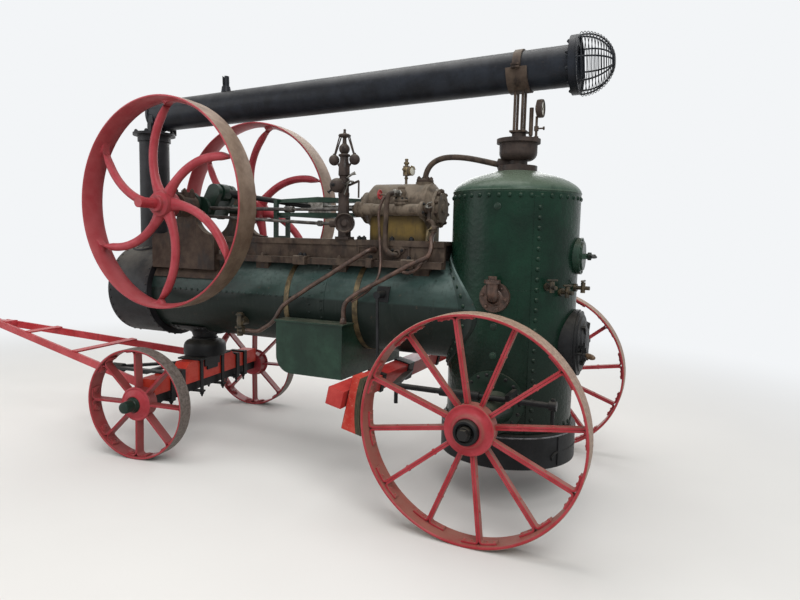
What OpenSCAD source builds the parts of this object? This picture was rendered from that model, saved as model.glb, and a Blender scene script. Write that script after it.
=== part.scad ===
// Portable steam engine: an upright round firebox with a domed top, a horizontal
// barrel and smokebox, a single-cylinder engine on the barrel between two
// flywheels, and a chimney folded back on its crutch. It rides on four iron
// wheels and has a drawbar at the smokebox end.
// X points forward to the smokebox and drawbar, Y to the left side, Z up.
// Lengths are worked out from the rear axle and then moved so that the
// origin is on the ground under the middle of the whole engine.

/* [Firebox] */
// Radius of the upright firebox shell
firebox_r = 397; // [380:1:410]
// Centre of the firebox ahead of the rear axle
firebox_x = 30; // [0:1:50]
// Height of the shell's lower edge above the ground
firebox_base = 455; // [430:1:480]
// Height of the shell from its lower edge to the dome seam
firebox_h = 1440; // [1400:1:1480]
// Rise of the domed top
dome_h = 145; // [120:1:170]
// Radius of the fire chamber
chamber_r = 300; // [270:1:320]
// Height of the fire chamber
chamber_h = 860; // [760:1:900]
// Radius of the fire hole
fire_hole_r = 150; // [120:1:165]
// Height of the fire door's centre
fire_door_z = 980; // [940:1:1010]
// Radius of the fire door
fire_door_r = 200; // [180:1:210]
// Radius of the ash pan
ash_pan_r = 430; // [415:1:440]
// Depth of the ash pan
ash_pan_h = 205; // [160:1:230]
// Thickness of the ash pan's sheet
ash_pan_t = 8; // [5:1:12]

/* [Barrel and smokebox] */
// Radius of the barrel
barrel_r = 322; // [315:1:330]
// Height of the barrel's axis
barrel_z = 1135; // [1125:1:1145]
// Back of the smokebox ahead of the rear axle
smoke_x = 2838; // [2820:1:2860]
// Length of the smokebox
smoke_len = 432; // [400:1:450]
// Radius of the smokebox
smoke_r = 365; // [355:1:375]
// Thickness of the smokebox plates
smoke_t = 12; // [8:1:16]
// Radius of the smokebox door
smoke_door_r = 285; // [270:1:300]
// Width of a barrel band
band_w = 38; // [25:1:50]
// Thickness of a barrel band
band_t = 4; // [2:1:6]

/* [Chimney] */
// Chimney stub's axis ahead of the rear axle
stub_x = 3120; // [3100:1:3130]
// Radius of the stub
stub_r = 118; // [110:1:122]
// Height of the stub's top face above the ground
stub_top = 2420; // [2400:1:2440]
// Radius of the stub's top flange
stub_flange_r = 167; // [160:1:175]
// Outer radius of the folding chimney
chimney_r = 122; // [118:1:125]
// Wall of the chimney and of the stub
chimney_t = 8; // [5:1:10]
// Length of the folding chimney
chimney_len = 3400; // [3340:1:3420]
// Tilt of the folded chimney above level
chimney_tilt = 1.65; // [1.3:0.05:2]
// Radius of the chimney's end ring
end_ring_r = 172; // [165:1:180]
// Thickness of a spark cage wire
cage_wire = 4.5; // [3:0.5:5]

/* [Flywheels and crank] */
// Radius of a flywheel
fly_r = 756; // [740:1:765]
// Width of a flywheel's rim
fly_w = 180; // [150:1:190]
// Thickness of a flywheel's rim
fly_rim_t = 28; // [22:1:36]
// Middle of a flywheel's rim from the engine's centre plane
fly_y = 532; // [526:1:545]
// Radius of a curved spoke
fly_spoke_r = 33; // [26:1:36]
// Turn of a spoke between hub and rim in degrees
fly_sweep = 35; // [25:1:40]
// Crankshaft's place ahead of the rear axle
crank_x = 2473; // [2460:1:2480]
// Height of the crankshaft
crank_z = 1808; // [1800:1:1815]
// Radius of the crankshaft
shaft_r = 37; // [34:1:40]
// Length of the crankshaft
shaft_len = 1540; // [1500:1:1560]
// Throw of the crank
crank_throw = 140; // [130:1:145]
// Crank's angle above the forward line
crank_angle = 120; // [110:1:130]

/* [Engine] */
// Radius of the cylinder casting
cyl_r = 165; // [155:1:170]
// Rear end of the cylinder ahead of the rear axle
cyl_x = 520; // [500:1:540]
// Length of the cylinder casting
cyl_len = 545; // [535:1:560]
// Height of the bed's top face
bed_z = 1585; // [1575:1:1590]
// Half width of the bed
bed_half = 250; // [240:1:256]
// Height of the bed's sides
bed_h = 175; // [160:1:185]
// Length of the connecting rod
rod_len = 920; // [900:1:935]
// Governor's place ahead of the rear axle
gov_x = 1136; // [1130:1:1150]
// Governor's place left of the centre plane
gov_y = 265; // [262:1:275]

/* [Rear wheels] */
// Radius of a rear wheel
rear_r = 615; // [605:1:620]
// Width of a rear rim
rear_w = 130; // [110:1:140]
// Middle of a rear rim from the centre plane
rear_y = 890; // [880:1:900]
// Thickness of a rear rim
rear_rim_t = 16; // [12:1:20]
// Number of spokes in a rear wheel
rear_spokes = 12; // [10:2:14]

/* [Front wheels and steering] */
// Radius of a front wheel
front_r = 394; // [385:1:400]
// Width of a front rim
front_w = 115; // [100:1:125]
// Middle of a front rim from the king pin
front_y = 788; // [780:1:800]
// Thickness of a front rim
front_rim_t = 14; // [10:1:18]
// Number of spokes in a front wheel
front_spokes = 8; // [6:2:10]
// King pin ahead of the rear axle
king_x = 2592; // [2580:1:2600]
// Angle at which the steering stands, to the left
steer_set = 7.4; // [0:0.1:10]
// Distance from the king pin to the tow eye
drawbar_len = 2300; // [2200:5:2400]
// Height of the tow eye
tow_eye_z = 740; // [720:1:760]
// Radius of the hole in the tow eye
tow_eye_r = 26; // [20:1:30]

/* [Hidden] */
$fn = 120;

// Clearance between seated pieces, and the running fit of a shaft
seat = 0.3;
run_fit = 0.08;
// Clearance kept between pieces that move past each other
pass = 6;

// Colours
green = "#264a3f";
grey_green = "#3c4f4d";
black = "#25262a";
crimson = "#a5333b";
orange_red = "#c4301f";
iron_brown = "#54483f";
ochre = "#8b7a45";
brass = "#7c6a47";
copper = "#6a4a3c";
steel = "#8d8d8a";
wood_red = "#8c2f2b";

// Places that follow from the sizes above
seam_z = firebox_base + firebox_h;
dome_top = seam_z + dome_h;
chamber_top = firebox_base + chamber_h;
throat_x = firebox_x + firebox_r + 40;
shell_back = firebox_x - firebox_r;
smoke_front = smoke_x + smoke_len;
tube_plate_x = smoke_x + smoke_t;
eye_ring_r = tow_eye_r + 32;
eye_x = king_x + drawbar_len * cos(steer_set);
mid_x = (eye_x + eye_ring_r - rear_r) / 2;
hinge_x = stub_x - 90;
hinge_z = stub_top + 50;
fold = 90 - chimney_tilt;
pin_x = crank_x + crank_throw * cos(crank_angle);
pin_z = crank_z + crank_throw * sin(crank_angle);
crosshead_x = pin_x - sqrt(rod_len * rod_len - pow(pin_z - crank_z, 2));
cyl_front = cyl_x + cyl_len;
bar_gap = 37;
bar_end_x = 1850;
front_z = front_r;
rear_z = rear_r;
rear_tip = rear_y + 120;
big_end_r = 66;
hub_face = fly_y + 98;
free_end_r = shaft_r - 1;
front_tip = front_y + 155;

// Chimney hinge: half distance between its ears, and its trunnion
lug_y = 122;
trunnion_r = 9;
crutch_top = hinge_z + (stub_x - hinge_x) + 30;
strap_z = hinge_z + (hinge_x - firebox_x) / sin(fold);
chimney_foot = stub_top + 0.6;
chimney_end = chimney_foot + chimney_len;
chimney_courses = 3;
// Safety valve's top and its boss for the steam pipe
valve_top = dome_top + 194;
valve_boss_h = 40;
valve_base_r = 122;
steam_boss_x = firebox_x + valve_base_r + 2;
steam_boss_z = dome_top + 44;
steam_x = 660;
steam_seat_z = crank_z + 170;
// Pedestals' saddle, slide bars and rods
pedestal_x0 = 2200;
pedestal_x1 = 2820;
piston_r = 20;
bar_x0 = cyl_front + 30 + seat;
bar_half = 60;
rod_r = 20;
rod_slot = rod_r + 7;
cross_pin_r = 14;
valve_rod_r = 11;
valve_rod_y = 192;
valve_rod_z = crank_z - 20;
// Eccentrics: sheave, throw and strap
ecc_r = 72;
ecc_off = 30;
ecc_strap = 16;
ecc_reach = ecc_r + ecc_off + ecc_strap;
// Feed pump under the governor
pump_y = 240;
pump_z = 1690;
pump_top = 1745;
stand_top = 1990;
spindle_r = 10;
// Feed tank, its lid and the check valve that its pump feeds
tank_x0 = 1030;
tank_x1 = 1550;
tank_half = 450;
tank_lid = 10;
tank_top = 1030;
check_x = 1930;
check_y = 340;
check_z = 905;
// Plate that carries a rear axle
axle_plate_t = 14;
// Fire door and smokebox door: seats, hinge lines and knuckles
door_seat_x = shell_back - 28;
hinge_y = fire_door_r + 22;
fire_pin_x = door_seat_x - 16;
fire_pin_r = 7;
smoke_hinge_y = smoke_door_r + 22;
smoke_pin_x = smoke_front + seat + 18;
smoke_pin_r = 8;
knuckle_r = 15;
fire_knuckle_z = 90;
smoke_knuckle_z = 110;
knuckle_half = 16;
// Brake: timber beam, its hangers, and the iron behind each block
beam_x = 762;
brake_half = 50;
brake_z = 706;
brake_lean = 12.5;
strap_in = brake_half + seat;
strap_out = strap_in + 9;
brake_iron_t = 12;
hanger_y = 480;
// Fore-carriage: neck, beam, axle bar and the drawbar with its hinge
neck_z = 762;
king_pin_r = 36;
beam_top = 600;
beam_low = 432;
beam_end_z = 548;
axle_half = 36;
beam_half = 62;
draw_s = 150;
draw_z = 462;
draw_pin_r = 14;
draw_root = 560;
arm_w = 20;
arm_h = 62;
arm_tip_s = drawbar_len - 110;
arm_tip_o = 41;
arm_tip_z = tow_eye_z - 8;
arm_turn = atan2(draw_root - arm_tip_o, arm_tip_s - draw_s);

// Basic shapes along the axes
module along_x(r, x0, x1, y, z) {
    translate([x0, y, z]) rotate([0, 90, 0]) cylinder(r = r, h = x1 - x0);
}
module along_y(r, y0, y1, x, z) {
    translate([x, y0, z]) rotate([-90, 0, 0]) cylinder(r = r, h = y1 - y0);
}
module along_z(r, z0, z1, x, y) {
    translate([x, y, z0]) cylinder(r = r, h = z1 - z0);
}
module block(x0, x1, y0, y1, z0, z1) {
    translate([x0, y0, z0]) cube([x1 - x0, y1 - y0, z1 - z0]);
}
module both_sides() {
    for (side = [0, 1]) mirror([0, side, 0]) children();
}
// A round bar from point a to point b
module bar(a, b, r) {
    d = b - a;
    translate(a) rotate([0, acos(d[2] / norm(d)), atan2(d[1], d[0])]) cylinder(r = r, h = norm(d));
}
// A flat bar from a to b, wide across its own level, thin upright
module flat_bar(a, b, wide, thick) {
    d = b - a;
    translate(a) rotate([0, acos(d[2] / norm(d)), atan2(d[1], d[0])])
        translate([-thick / 2, -wide / 2, 0]) cube([thick, wide, norm(d)]);
}
// A shallow dished cap of radius r and rise h on the ground plane
module dish(r, h) {
    big = (r * r + h * h) / (2 * h);
    half = asin(r / big);
    rotate_extrude() polygon(concat([[0, 0]], [for (i = [8:-1:0]) big * [sin(half * i / 8), cos(half * i / 8)]
        - [0, big - h]]));
}
// A ball turned as a profile of short straight steps
module ball(r) {
    rotate_extrude() polygon([for (a = [-90:15:90]) r * [a == 90 || a == -90 ? 0 : cos(a), sin(a)]]);
}
// Moves the engine from the rear axle to the middle of its length
module world() {
    translate([-mid_x, 0, 0]) children();
}
// Turns what is drawn straight ahead of the king pin to the steering's stand
module steered() {
    world() translate([king_x, 0, 0]) rotate([0, 0, steer_set]) children();
}
// Lays the upright chimney back on its hinge
module folded() {
    world() translate([hinge_x, 0, hinge_z]) rotate([0, -fold, 0]) translate([-hinge_x, 0, -hinge_z]) children();
}
// The space inside the firebox shell's outer surface, for seats on it
module firebox_space(extra = seat) {
    along_z(firebox_r + extra, 0, dome_top, firebox_x, 0);
}
module barrel_space(extra = seat) {
    along_x(barrel_r + extra, firebox_x, smoke_front, 0, barrel_z);
}
// Ring of wall between two radii round the firebox axis
module firebox_ring(r0, r1, z0, z1) {
    difference() {
        along_z(r1, z0, z1, firebox_x, 0);
        along_z(r0, z0 - 1, z1 + 1, firebox_x, 0);
    }
}

// Pipes: straight runs with round bends, swept with a ring of sides
function unit(v) = v / norm(v);
function bend(a, b, c, r, n) =
    let (u = unit(a - b), v = unit(c - b), half = acos(u * v) / 2)
    let (p = b + u * r / tan(half), o = b + unit(u + v) * r / sin(half), turn = 180 - 2 * half)
    [for (i = [0:n]) o + r * (cos(turn * i / n) * unit(p - o) - sin(turn * i / n) * u)];
function route(pts, r, n) = concat(
    [pts[0]],
    [for (i = [1:len(pts) - 2]) each bend(pts[i - 1], pts[i], pts[i + 1], r, n)],
    [pts[len(pts) - 1]]
);
function heading(p, i) = unit(p[min(i + 1, len(p) - 1)] - p[max(i - 1, 0)]);
function square_off(n, t) = unit(n - t * (n * t));
function side_ways(p) = [
    for (i = 0, n = square_off([0.12, 0.2, 0.97], heading(p, 0)); i < len(p);
        i = i + 1, n = i < len(p) ? square_off(n, heading(p, i)) : n) n
];
module pipe(pts, r, bend_r = 60, sides = 10, n = 4) {
    p = route(pts, bend_r, n);
    s = side_ways(p);
    rings = [for (i = [0:len(p) - 1], k = [0:sides - 1])
        p[i] + r * (cos(360 * k / sides) * s[i] + sin(360 * k / sides) * cross(heading(p, i), s[i]))];
    walls = [for (i = [0:len(p) - 2], k = [0:sides - 1])
        [i * sides + k, (i + 1) * sides + k, (i + 1) * sides + (k + 1) % sides, i * sides + (k + 1) % sides]];
    ends = [[for (k = [0:sides - 1]) k], [for (k = [0:sides - 1]) (len(p) - 1) * sides + sides - 1 - k]];
    polyhedron(points = rings, faces = concat(walls, ends), convexity = 6);
}

// Firebox: the lower shell is a water jacket round the fire chamber
module firebox_shell() {
    color(green) world() difference() {
        union() {
            along_z(firebox_r, firebox_base, chamber_top, firebox_x, 0);
            firebox_lap(firebox_base, chamber_top);
        }
        along_z(chamber_r, firebox_base - 1, chamber_top + 1, firebox_x, 0);
        along_x(fire_hole_r, shell_back - 20, firebox_x, 0, fire_door_z);
    }
}
// The upper shell over the chamber, with the domed top
module firebox_crown() {
    lap_top = seam_z - 36;
    color(green) world() union() {
        along_z(firebox_r, chamber_top + seat, seam_z, firebox_x, 0);
        translate([firebox_x, 0, seam_z - 0.5]) dish(firebox_r - 4, dome_h + 0.5);
        firebox_lap(chamber_top + seat, lap_top);
    }
}
// Ring round the fire hole, with the lugs and pins that carry the door
module fire_door_frame() {
    color(black) world() difference() {
        union() {
            along_x(fire_door_r + 8, door_seat_x, firebox_x - 200, 0, fire_door_z);
            for (s = [-1, 1]) hinge_lug(fire_pin_x, shell_back + 130, -hinge_y,
                fire_door_z + s * fire_knuckle_z, fire_pin_r);
        }
        firebox_space();
        along_x(fire_hole_r, door_seat_x - 1, firebox_x, 0, fire_door_z);
    }
}
// A lug from x_seat to a pin's place, with the pin that stands up through the door's knuckle
module hinge_lug(x_pin, x_seat, y, z, r) {
    low = z - knuckle_half - 16;
    along_z(knuckle_r, low, z - knuckle_half - 2, x_pin, y);
    block(min(x_pin, x_seat), max(x_pin, x_seat), y - knuckle_r, y + knuckle_r, low, z - knuckle_half - 2);
    along_z(r, low, z + knuckle_half + 4, x_pin, y);
}
// The upright riveted lap on the left rear of the shell
module firebox_lap(z0, z1) {
    lap_at = 119.5;
    lap_turn = 7;
    lap_t = 4;
    translate([firebox_x, 0, z0]) rotate([0, 0, lap_at]) rotate_extrude(angle = lap_turn)
        translate([firebox_r - 10, 0]) square([10 + lap_t, z1 - z0]);
}

module ash_pan() {
    lip = 25;
    color(black) world() difference() {
        along_z(ash_pan_r, firebox_base - ash_pan_h, firebox_base, firebox_x, 0);
        along_z(ash_pan_r - ash_pan_t, firebox_base - ash_pan_h + ash_pan_t, firebox_base - ash_pan_t,
            firebox_x, 0);
        along_z(chamber_r - lip, firebox_base - 2 * ash_pan_t, firebox_base + 1, firebox_x, 0);
    }
}

module grate() {
    grate_h = 22;
    bar_step = 44;
    slot_w = 16;
    color(black) world() difference() {
        along_z(chamber_r - 1, firebox_base, firebox_base + grate_h, firebox_x, 0);
        for (k = [-5:5]) {
            half = sqrt(pow(chamber_r - 32, 2) - pow(k * bar_step, 2));
            translate([firebox_x + k * bar_step - slot_w / 2, -half, firebox_base - 1])
                cube([slot_w, 2 * half, grate_h + 2]);
        }
    }
}

// Each rear axle is a stub in a trumpet on a round plate riveted to the shell
module rear_axle_brackets() {
    plate_r = 190;
    trumpet_y = 610;
    axle_r = 35;
    color(black) world() both_sides() {
        intersection() {
            along_y(plate_r, 200, firebox_r + 80, firebox_x, rear_z + 25);
            firebox_ring(firebox_r + seat, firebox_r + seat + axle_plate_t, firebox_base + seat, 1000);
        }
        difference() {
            translate([0, 300, rear_z]) rotate([-90, 0, 0]) cylinder(r1 = 130, r2 = 50, h = trumpet_y - 300);
            firebox_space();
            along_z(ash_pan_r + seat, 0, firebox_base + seat, firebox_x, 0);
        }
        along_y(48, trumpet_y - 20, rear_y - 130, 0, rear_z);
        along_y(60, rear_y - 145, rear_y - 130, 0, rear_z);
        along_y(axle_r, trumpet_y, rear_tip - 22, 0, rear_z);
        translate([0, rear_tip - 28, rear_z]) rotate([-90, 0, 0]) cylinder(r = 30, h = 28, $fn = 6);
    }
}

module barrel_throat() {
    flange_t = 10;
    color(grey_green) world() difference() {
        union() {
            along_x(barrel_r, firebox_x, throat_x, 0, barrel_z);
            intersection() {
                along_z(firebox_r + flange_t, barrel_z - 500, barrel_z + 500, firebox_x, 0);
                along_x(barrel_r + 60, firebox_x, throat_x, 0, barrel_z);
            }
        }
        firebox_space();
    }
}
module barrel() {
    color(grey_green) world() {
        along_x(barrel_r, throat_x + seat, tube_plate_x, 0, barrel_z);
        barrel_lap();
    }
}
// The ring where the barrel's two plates overlap
module barrel_lap() {
    lap_x = 1250;
    along_x(barrel_r + 3, lap_x, lap_x + 140, 0, barrel_z);
}

module barrel_bands() {
    band_x = [990, 1540];
    r = barrel_r + seat;
    color(brass) world() for (x = band_x) difference() {
        along_x(r + band_t, x, x + band_w, 0, barrel_z);
        along_x(r, x - 1, x + band_w + 1, 0, barrel_z);
    }
}

module smokebox() {
    ring_w = 34;
    ring_t = 7;
    color(black) world() difference() {
        union() {
            along_x(smoke_r, smoke_x, smoke_front, 0, barrel_z);
            along_x(smoke_r + ring_t, smoke_x, smoke_x + ring_w, 0, barrel_z);
            for (s = [-1, 1]) hinge_lug(smoke_pin_x, smoke_front - 2, -smoke_hinge_y,
                barrel_z + s * smoke_knuckle_z, smoke_pin_r);
        }
        along_x(barrel_r + seat, smoke_x - 1, smoke_x + smoke_t + 1, 0, barrel_z);
        along_x(smoke_r - smoke_t, tube_plate_x, smoke_front - smoke_t, 0, barrel_z);
        along_x(smoke_door_r - 30, smoke_front - 2 * smoke_t, smoke_front + 1, 0, barrel_z);
        along_z(stub_r - chimney_t - 4, barrel_z + 200, barrel_z + smoke_r + 20, stub_x, 0);
    }
}

// Stub on a saddle, with the flange and the ears that carry the folding chimney
module chimney_base() {
    saddle_r = 185;
    saddle_t = 14;
    skirt_z = barrel_z + smoke_r + 70;
    flange_t = 20;
    color(black) world() {
        difference() {
            union() {
                intersection() {
                    along_z(saddle_r, barrel_z + 250, skirt_z, stub_x, 0);
                    along_x(smoke_r + seat + saddle_t, stub_x - 200, stub_x + 200, 0, barrel_z);
                }
                translate([stub_x, 0, skirt_z - 140]) cylinder(r1 = stub_r + 62, r2 = stub_r, h = 140);
                along_z(stub_r, skirt_z - 1, stub_top, stub_x, 0);
                along_z(stub_r + 12, stub_top - 70, stub_top - flange_t + 1, stub_x, 0);
                along_z(stub_flange_r, stub_top - flange_t, stub_top, stub_x, 0);
            }
            along_x(smoke_r + seat, stub_x - 300, stub_x + 300, 0, barrel_z);
            along_z(stub_r - chimney_t, barrel_z, stub_top + 1, stub_x, 0);
        }
        both_sides() chimney_ear();
    }
}
// One ear on the stub's flange with its trunnion pin
module chimney_ear() {
    ear_r = 20;
    ear_y = lug_y + 2;
    along_y(ear_r, ear_y, ear_y + 14, hinge_x, hinge_z);
    block(hinge_x - ear_r, hinge_x + ear_r, ear_y, ear_y + 14, stub_top - 1, hinge_z);
    along_y(trunnion_r, lug_y - 20, ear_y + 14, hinge_x, hinge_z);
}

// The folding chimney in its raised place, laid back by folded()
module chimney_tube() {
    course = (chimney_end - chimney_foot) / chimney_courses;
    color(black) folded() difference() {
        for (z = [chimney_foot:course:chimney_end - 1])
            along_z(chimney_r, z, min(z + course - seat, chimney_end), stub_x, 0);
        along_z(chimney_r - chimney_t, chimney_foot - 1, chimney_end + 1, stub_x, 0);
        heel_relief();
    }
}
// Hinge ears, foot ring, end ring and pole socket, all seated on the tube
module chimney_fittings() {
    ring_t = 38;
    foot_ring_t = 7;
    foot_ring_h = 24;
    socket_at = 680;
    color(black) folded() difference() {
        union() {
            along_z(chimney_r + foot_ring_t, chimney_foot, chimney_foot + foot_ring_h, stub_x, 0);
            along_z(end_ring_r, chimney_end - ring_t, chimney_end, stub_x, 0);
            both_sides() along_y(24, 70, lug_y, hinge_x, hinge_z);
            both_sides() block(hinge_x, stub_x, 100, lug_y, hinge_z - 24, hinge_z + 24);
            pole_socket(hinge_z + socket_at);
        }
        along_z(chimney_r + seat, chimney_foot - 1, chimney_end + 1, stub_x, 0);
        both_sides() along_y(trunnion_r + run_fit, 60, lug_y + 1, hinge_x, hinge_z);
        heel_relief();
    }
}
// Rounds the heel behind the hinge so that it turns past the stub's flange
module heel_relief() {
    reach = hinge_z - stub_top - 2;
    difference() {
        block(hinge_x - 80, hinge_x, -200, 200, chimney_foot - 1, hinge_z);
        along_y(reach, -201, 201, hinge_x, hinge_z);
    }
}
// Half of a strap round the tube; the upper half is the travel strap over the folded chimney
module chimney_strap() {
    color(iron_brown) folded() strap_half(50, 10, 1);
}
module strap_half(w, t, side) {
    lug_w = 50;
    r = chimney_r + seat;
    gap = side > 0 ? 4 : 0;
    translate([stub_x, 0, strap_z]) mirror([side > 0 ? 0 : 1, 0, 0]) {
        intersection() {
            difference() {
                along_z(r + t, -w / 2, w / 2, 0, 0);
                along_z(r, -w, w, 0, 0);
            }
            block(gap, 200, -200, 200, -w, w);
        }
        both_sides() block(gap, gap + 12, r + 2, r + 38, -lug_w / 2, lug_w / 2);
    }
}
// Split socket for the raising pole, on top of the folded chimney
module pole_socket(z) {
    plate_t = 10;
    socket_h = 118;
    difference() {
        translate([stub_x, 0, z]) rotate([0, 90, 0]) union() {
            cylinder(r1 = 60, r2 = 32, h = chimney_r + 40);
            cylinder(r = 26, h = chimney_r + socket_h);
        }
        translate([stub_x + chimney_r + 30, 0, z]) rotate([0, 90, 0]) cylinder(r = 26 - plate_t / 2, h = socket_h);
        translate([stub_x + chimney_r + 46, -50, z - 8]) cube([socket_h, 100, 16]);
    }
}

// Half-round wire cage over the chimney's end
module spark_cage() {
    cage_r = 174;
    bar_r = 5;
    centre = 26;
    ring_step = 6;
    low = asin(centre / cage_r) - 3;
    wire_r = cage_r + bar_r + cage_wire / 2 + seat;
    color(black) folded() translate([stub_x, 0, chimney_end + seat]) {
        difference() {
            cylinder(r = end_ring_r - 1, h = 10);
            translate([0, 0, -1]) cylinder(r = end_ring_r - 16, h = 12);
        }
        for (k = [0:7]) rotate([90, 0, 45 * k]) translate([0, centre, 0]) rotate([0, 0, -low])
            rotate_extrude(angle = 83 + low) translate([cage_r, 0]) circle(r = bar_r, $fn = 24);
        translate([0, 0, centre + cage_r - 7]) cylinder(r = 28, h = 14);
        for (a = [14:ring_step:92]) translate([0, 0, centre + wire_r * cos(a)])
            rotate_extrude() translate([wire_r * sin(a), 0]) circle(r = cage_wire / 2, $fn = 16);
    }
}

// Round cover on the back of the shell, held by a bar and one stud
module manhole_cover() {
    cover_z = 1517;
    ring_r = 112;
    cover_r = 86;
    face_x = shell_back - 26;
    color(green) world() {
        difference() {
            along_x(ring_r, face_x, firebox_x - 200, 0, cover_z);
            firebox_space();
        }
        along_x(cover_r, face_x - 12, face_x + 1, 0, cover_z);
        block(face_x - 34, face_x - 11, -95, 95, cover_z - 16, cover_z + 16);
        along_x(13, face_x - 78, face_x - 30, 0, cover_z);
        translate([face_x - 54, 0, cover_z]) rotate([0, 90, 0]) cylinder(r = 24, h = 21, $fn = 6);
    }
}

// Safety valve: flange on the dome, waist and bowl, turned as one profile
module safety_valve() {
    waist_r = 60;
    bowl_r = 118;
    rim_r = 136;
    boss_r = 44;
    base_top = dome_top + 28;
    bowl_z = base_top + 34;
    color(iron_brown) world() difference() {
        union() {
            translate([firebox_x, 0, 0]) rotate_extrude(convexity = 6) polygon(concat(
                    [[0, dome_top - 40], [valve_base_r, dome_top - 40], [valve_base_r, base_top]],
                    [for (a = [0:18:90]) [waist_r + 14 * (1 - sin(a)), base_top + 14 * (1 - cos(a))]],
                    [[waist_r, bowl_z]],
                    [for (a = [-90:15:0]) [bowl_r - 48 + 48 * cos(a), bowl_z + 48 + 48 * sin(a)]],
                    [[bowl_r, valve_top - 26], [rim_r, valve_top - 26], [rim_r, valve_top],
                        [boss_r, valve_top], [boss_r, valve_top + valve_boss_h], [0, valve_top + valve_boss_h]]
            ));
            along_x(38, firebox_x, steam_boss_x, 0, steam_boss_z);
        }
        translate([firebox_x, 0, seam_z]) dish(firebox_r + seat, dome_h + seat);
    }
}

// Crutch under the folded chimney: four square posts and the lower strap half
module chimney_crutch() {
    saddle_w = 130;
    plate_t = 9;
    post = 14;
    post_x = 24;
    post_y = 36;
    foot_half = 50;
    foot_z = valve_top + valve_boss_h + seat;
    color(iron_brown) {
        folded() strap_half(saddle_w, plate_t, -1);
        world() difference() {
            union() {
                for (x = [-post_x, post_x], y = [-post_y, post_y])
                    block(firebox_x + x - post / 2, firebox_x + x + post / 2, y - post / 2, y + post / 2,
                        foot_z, crutch_top);
                block(firebox_x - foot_half, firebox_x + foot_half, -foot_half, foot_half, foot_z, foot_z + 12);
            }
            chimney_space();
        }
    }
}

// The folded chimney's own space, cut from what stands under it
module chimney_space() {
    translate([hinge_x, 0, hinge_z]) rotate([0, -fold, 0]) translate([-hinge_x, 0, -hinge_z])
        along_z(chimney_r + seat + 1, stub_top, stub_top + chimney_len, stub_x, 0);
}

module pressure_gauge() {
    gauge_x = -95;
    gauge_z = valve_top + 182;
    gauge_r = 54;
    stem_x = -78;
    whistle_x = stem_x + 34;
    color(iron_brown) world() {
        along_x(gauge_r, gauge_x - 14, gauge_x + 14, 0, gauge_z);
        translate([gauge_x + 13, 0, gauge_z]) rotate([0, 90, 0]) dish(gauge_r - 5, 14);
        along_z(8, valve_top + seat, gauge_z - gauge_r + 8, stem_x, 0);
        along_z(15, valve_top + seat, valve_top + 14, stem_x, 0);
        along_z(14, valve_top + 48, valve_top + 76, stem_x, 0);
        along_x(5, stem_x - 44, stem_x, 0, valve_top + 62);
        along_x(11, stem_x - 50, stem_x - 42, 0, valve_top + 62);
        along_z(13, valve_top + 22, valve_top + 190, whistle_x, 0);
        along_z(9, valve_top + seat, valve_top + 30, whistle_x, 0);
    }
}

// The bed: a long channel on three saddles along the top of the barrel
module bed_casting() {
    bed_x0 = 410;
    bed_x1 = pedestal_x0 - seat;
    wall = 25;
    foot = 50;
    foot_t = 44;
    lip = 12;
    lip_t = 38;
    saddle_x = [520, 1130, 1780];
    color(iron_brown) world() {
        difference() {
            translate([bed_x0, 0, 0]) rotate([90, 0, 90]) linear_extrude(bed_x1 - bed_x0) union() {
                polygon([
                    [-bed_half, bed_z], [bed_half, bed_z], [bed_half, bed_z - bed_h + foot_t],
                    [bed_half + foot, bed_z - bed_h + foot_t], [bed_half + foot, bed_z - bed_h],
                    [bed_half - wall, bed_z - bed_h], [bed_half - wall, bed_z - wall],
                    [wall - bed_half, bed_z - wall], [wall - bed_half, bed_z - bed_h],
                    [-bed_half - foot, bed_z - bed_h], [-bed_half - foot, bed_z - bed_h + foot_t],
                    [-bed_half, bed_z - bed_h + foot_t]
                ]);
                for (s = [-1, 1]) translate([s * (bed_half + lip / 2 - 1), bed_z - lip_t / 2])
                    square([lip + 2, lip_t], center = true);
            }
            along_z(firebox_r + 6, bed_z - bed_h - 1, bed_z + 1, firebox_x, 0);
        }
        for (x = saddle_x) difference() {
            block(x, x + 110, wall - bed_half - 5, bed_half - wall + 5, bed_z - 235, bed_z - wall + 5);
            barrel_space();
        }
    }
}

// Two bearing pedestals with hollowed flanks on one saddle plate
module crank_pedestals() {
    inner_y = 268;
    cheek = 56;
    bearing_r = 84;
    neck = 85;
    fillet_r = 170;
    shoulder_z = bed_z + 10;
    saddle_t = 16;
    color(iron_brown) world() {
        difference() {
            union() {
                difference() {
                    along_x(barrel_r + seat + saddle_t, pedestal_x0, pedestal_x1, 0, barrel_z);
                    block(pedestal_x0 - 1, pedestal_x1 + 1, -500, 500, 0, barrel_z + 130);
                }
                block(pedestal_x1 - 25, pedestal_x1, -inner_y, inner_y, barrel_z + 130, bed_z - 20);
                both_sides() translate([0, inner_y + cheek, 0]) rotate([90, 0, 0]) linear_extrude(cheek)
                    difference() {
                        polygon([
                            [pedestal_x0, barrel_z + 200], [pedestal_x1, barrel_z + 200], [pedestal_x1, shoulder_z],
                            [crank_x + neck + fillet_r, shoulder_z], [crank_x + neck, shoulder_z + fillet_r],
                            [crank_x + neck, crank_z], [crank_x - neck, crank_z],
                            [crank_x - neck, shoulder_z + fillet_r], [crank_x - neck - fillet_r, shoulder_z],
                            [pedestal_x0, shoulder_z]
                        ]);
                        for (s = [-1, 1]) translate([crank_x + s * (neck + fillet_r), shoulder_z + fillet_r])
                            circle(r = fillet_r);
                    }
                both_sides() along_y(bearing_r, inner_y, inner_y + 150, crank_x, crank_z);
                both_sides() block(crank_x - 60, crank_x + 60, inner_y + 20, inner_y + 120, crank_z, crank_z + 96);
            }
            barrel_space();
            along_y(shaft_r + run_fit, -600, 600, crank_x, crank_z);
        }
    }
}

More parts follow.
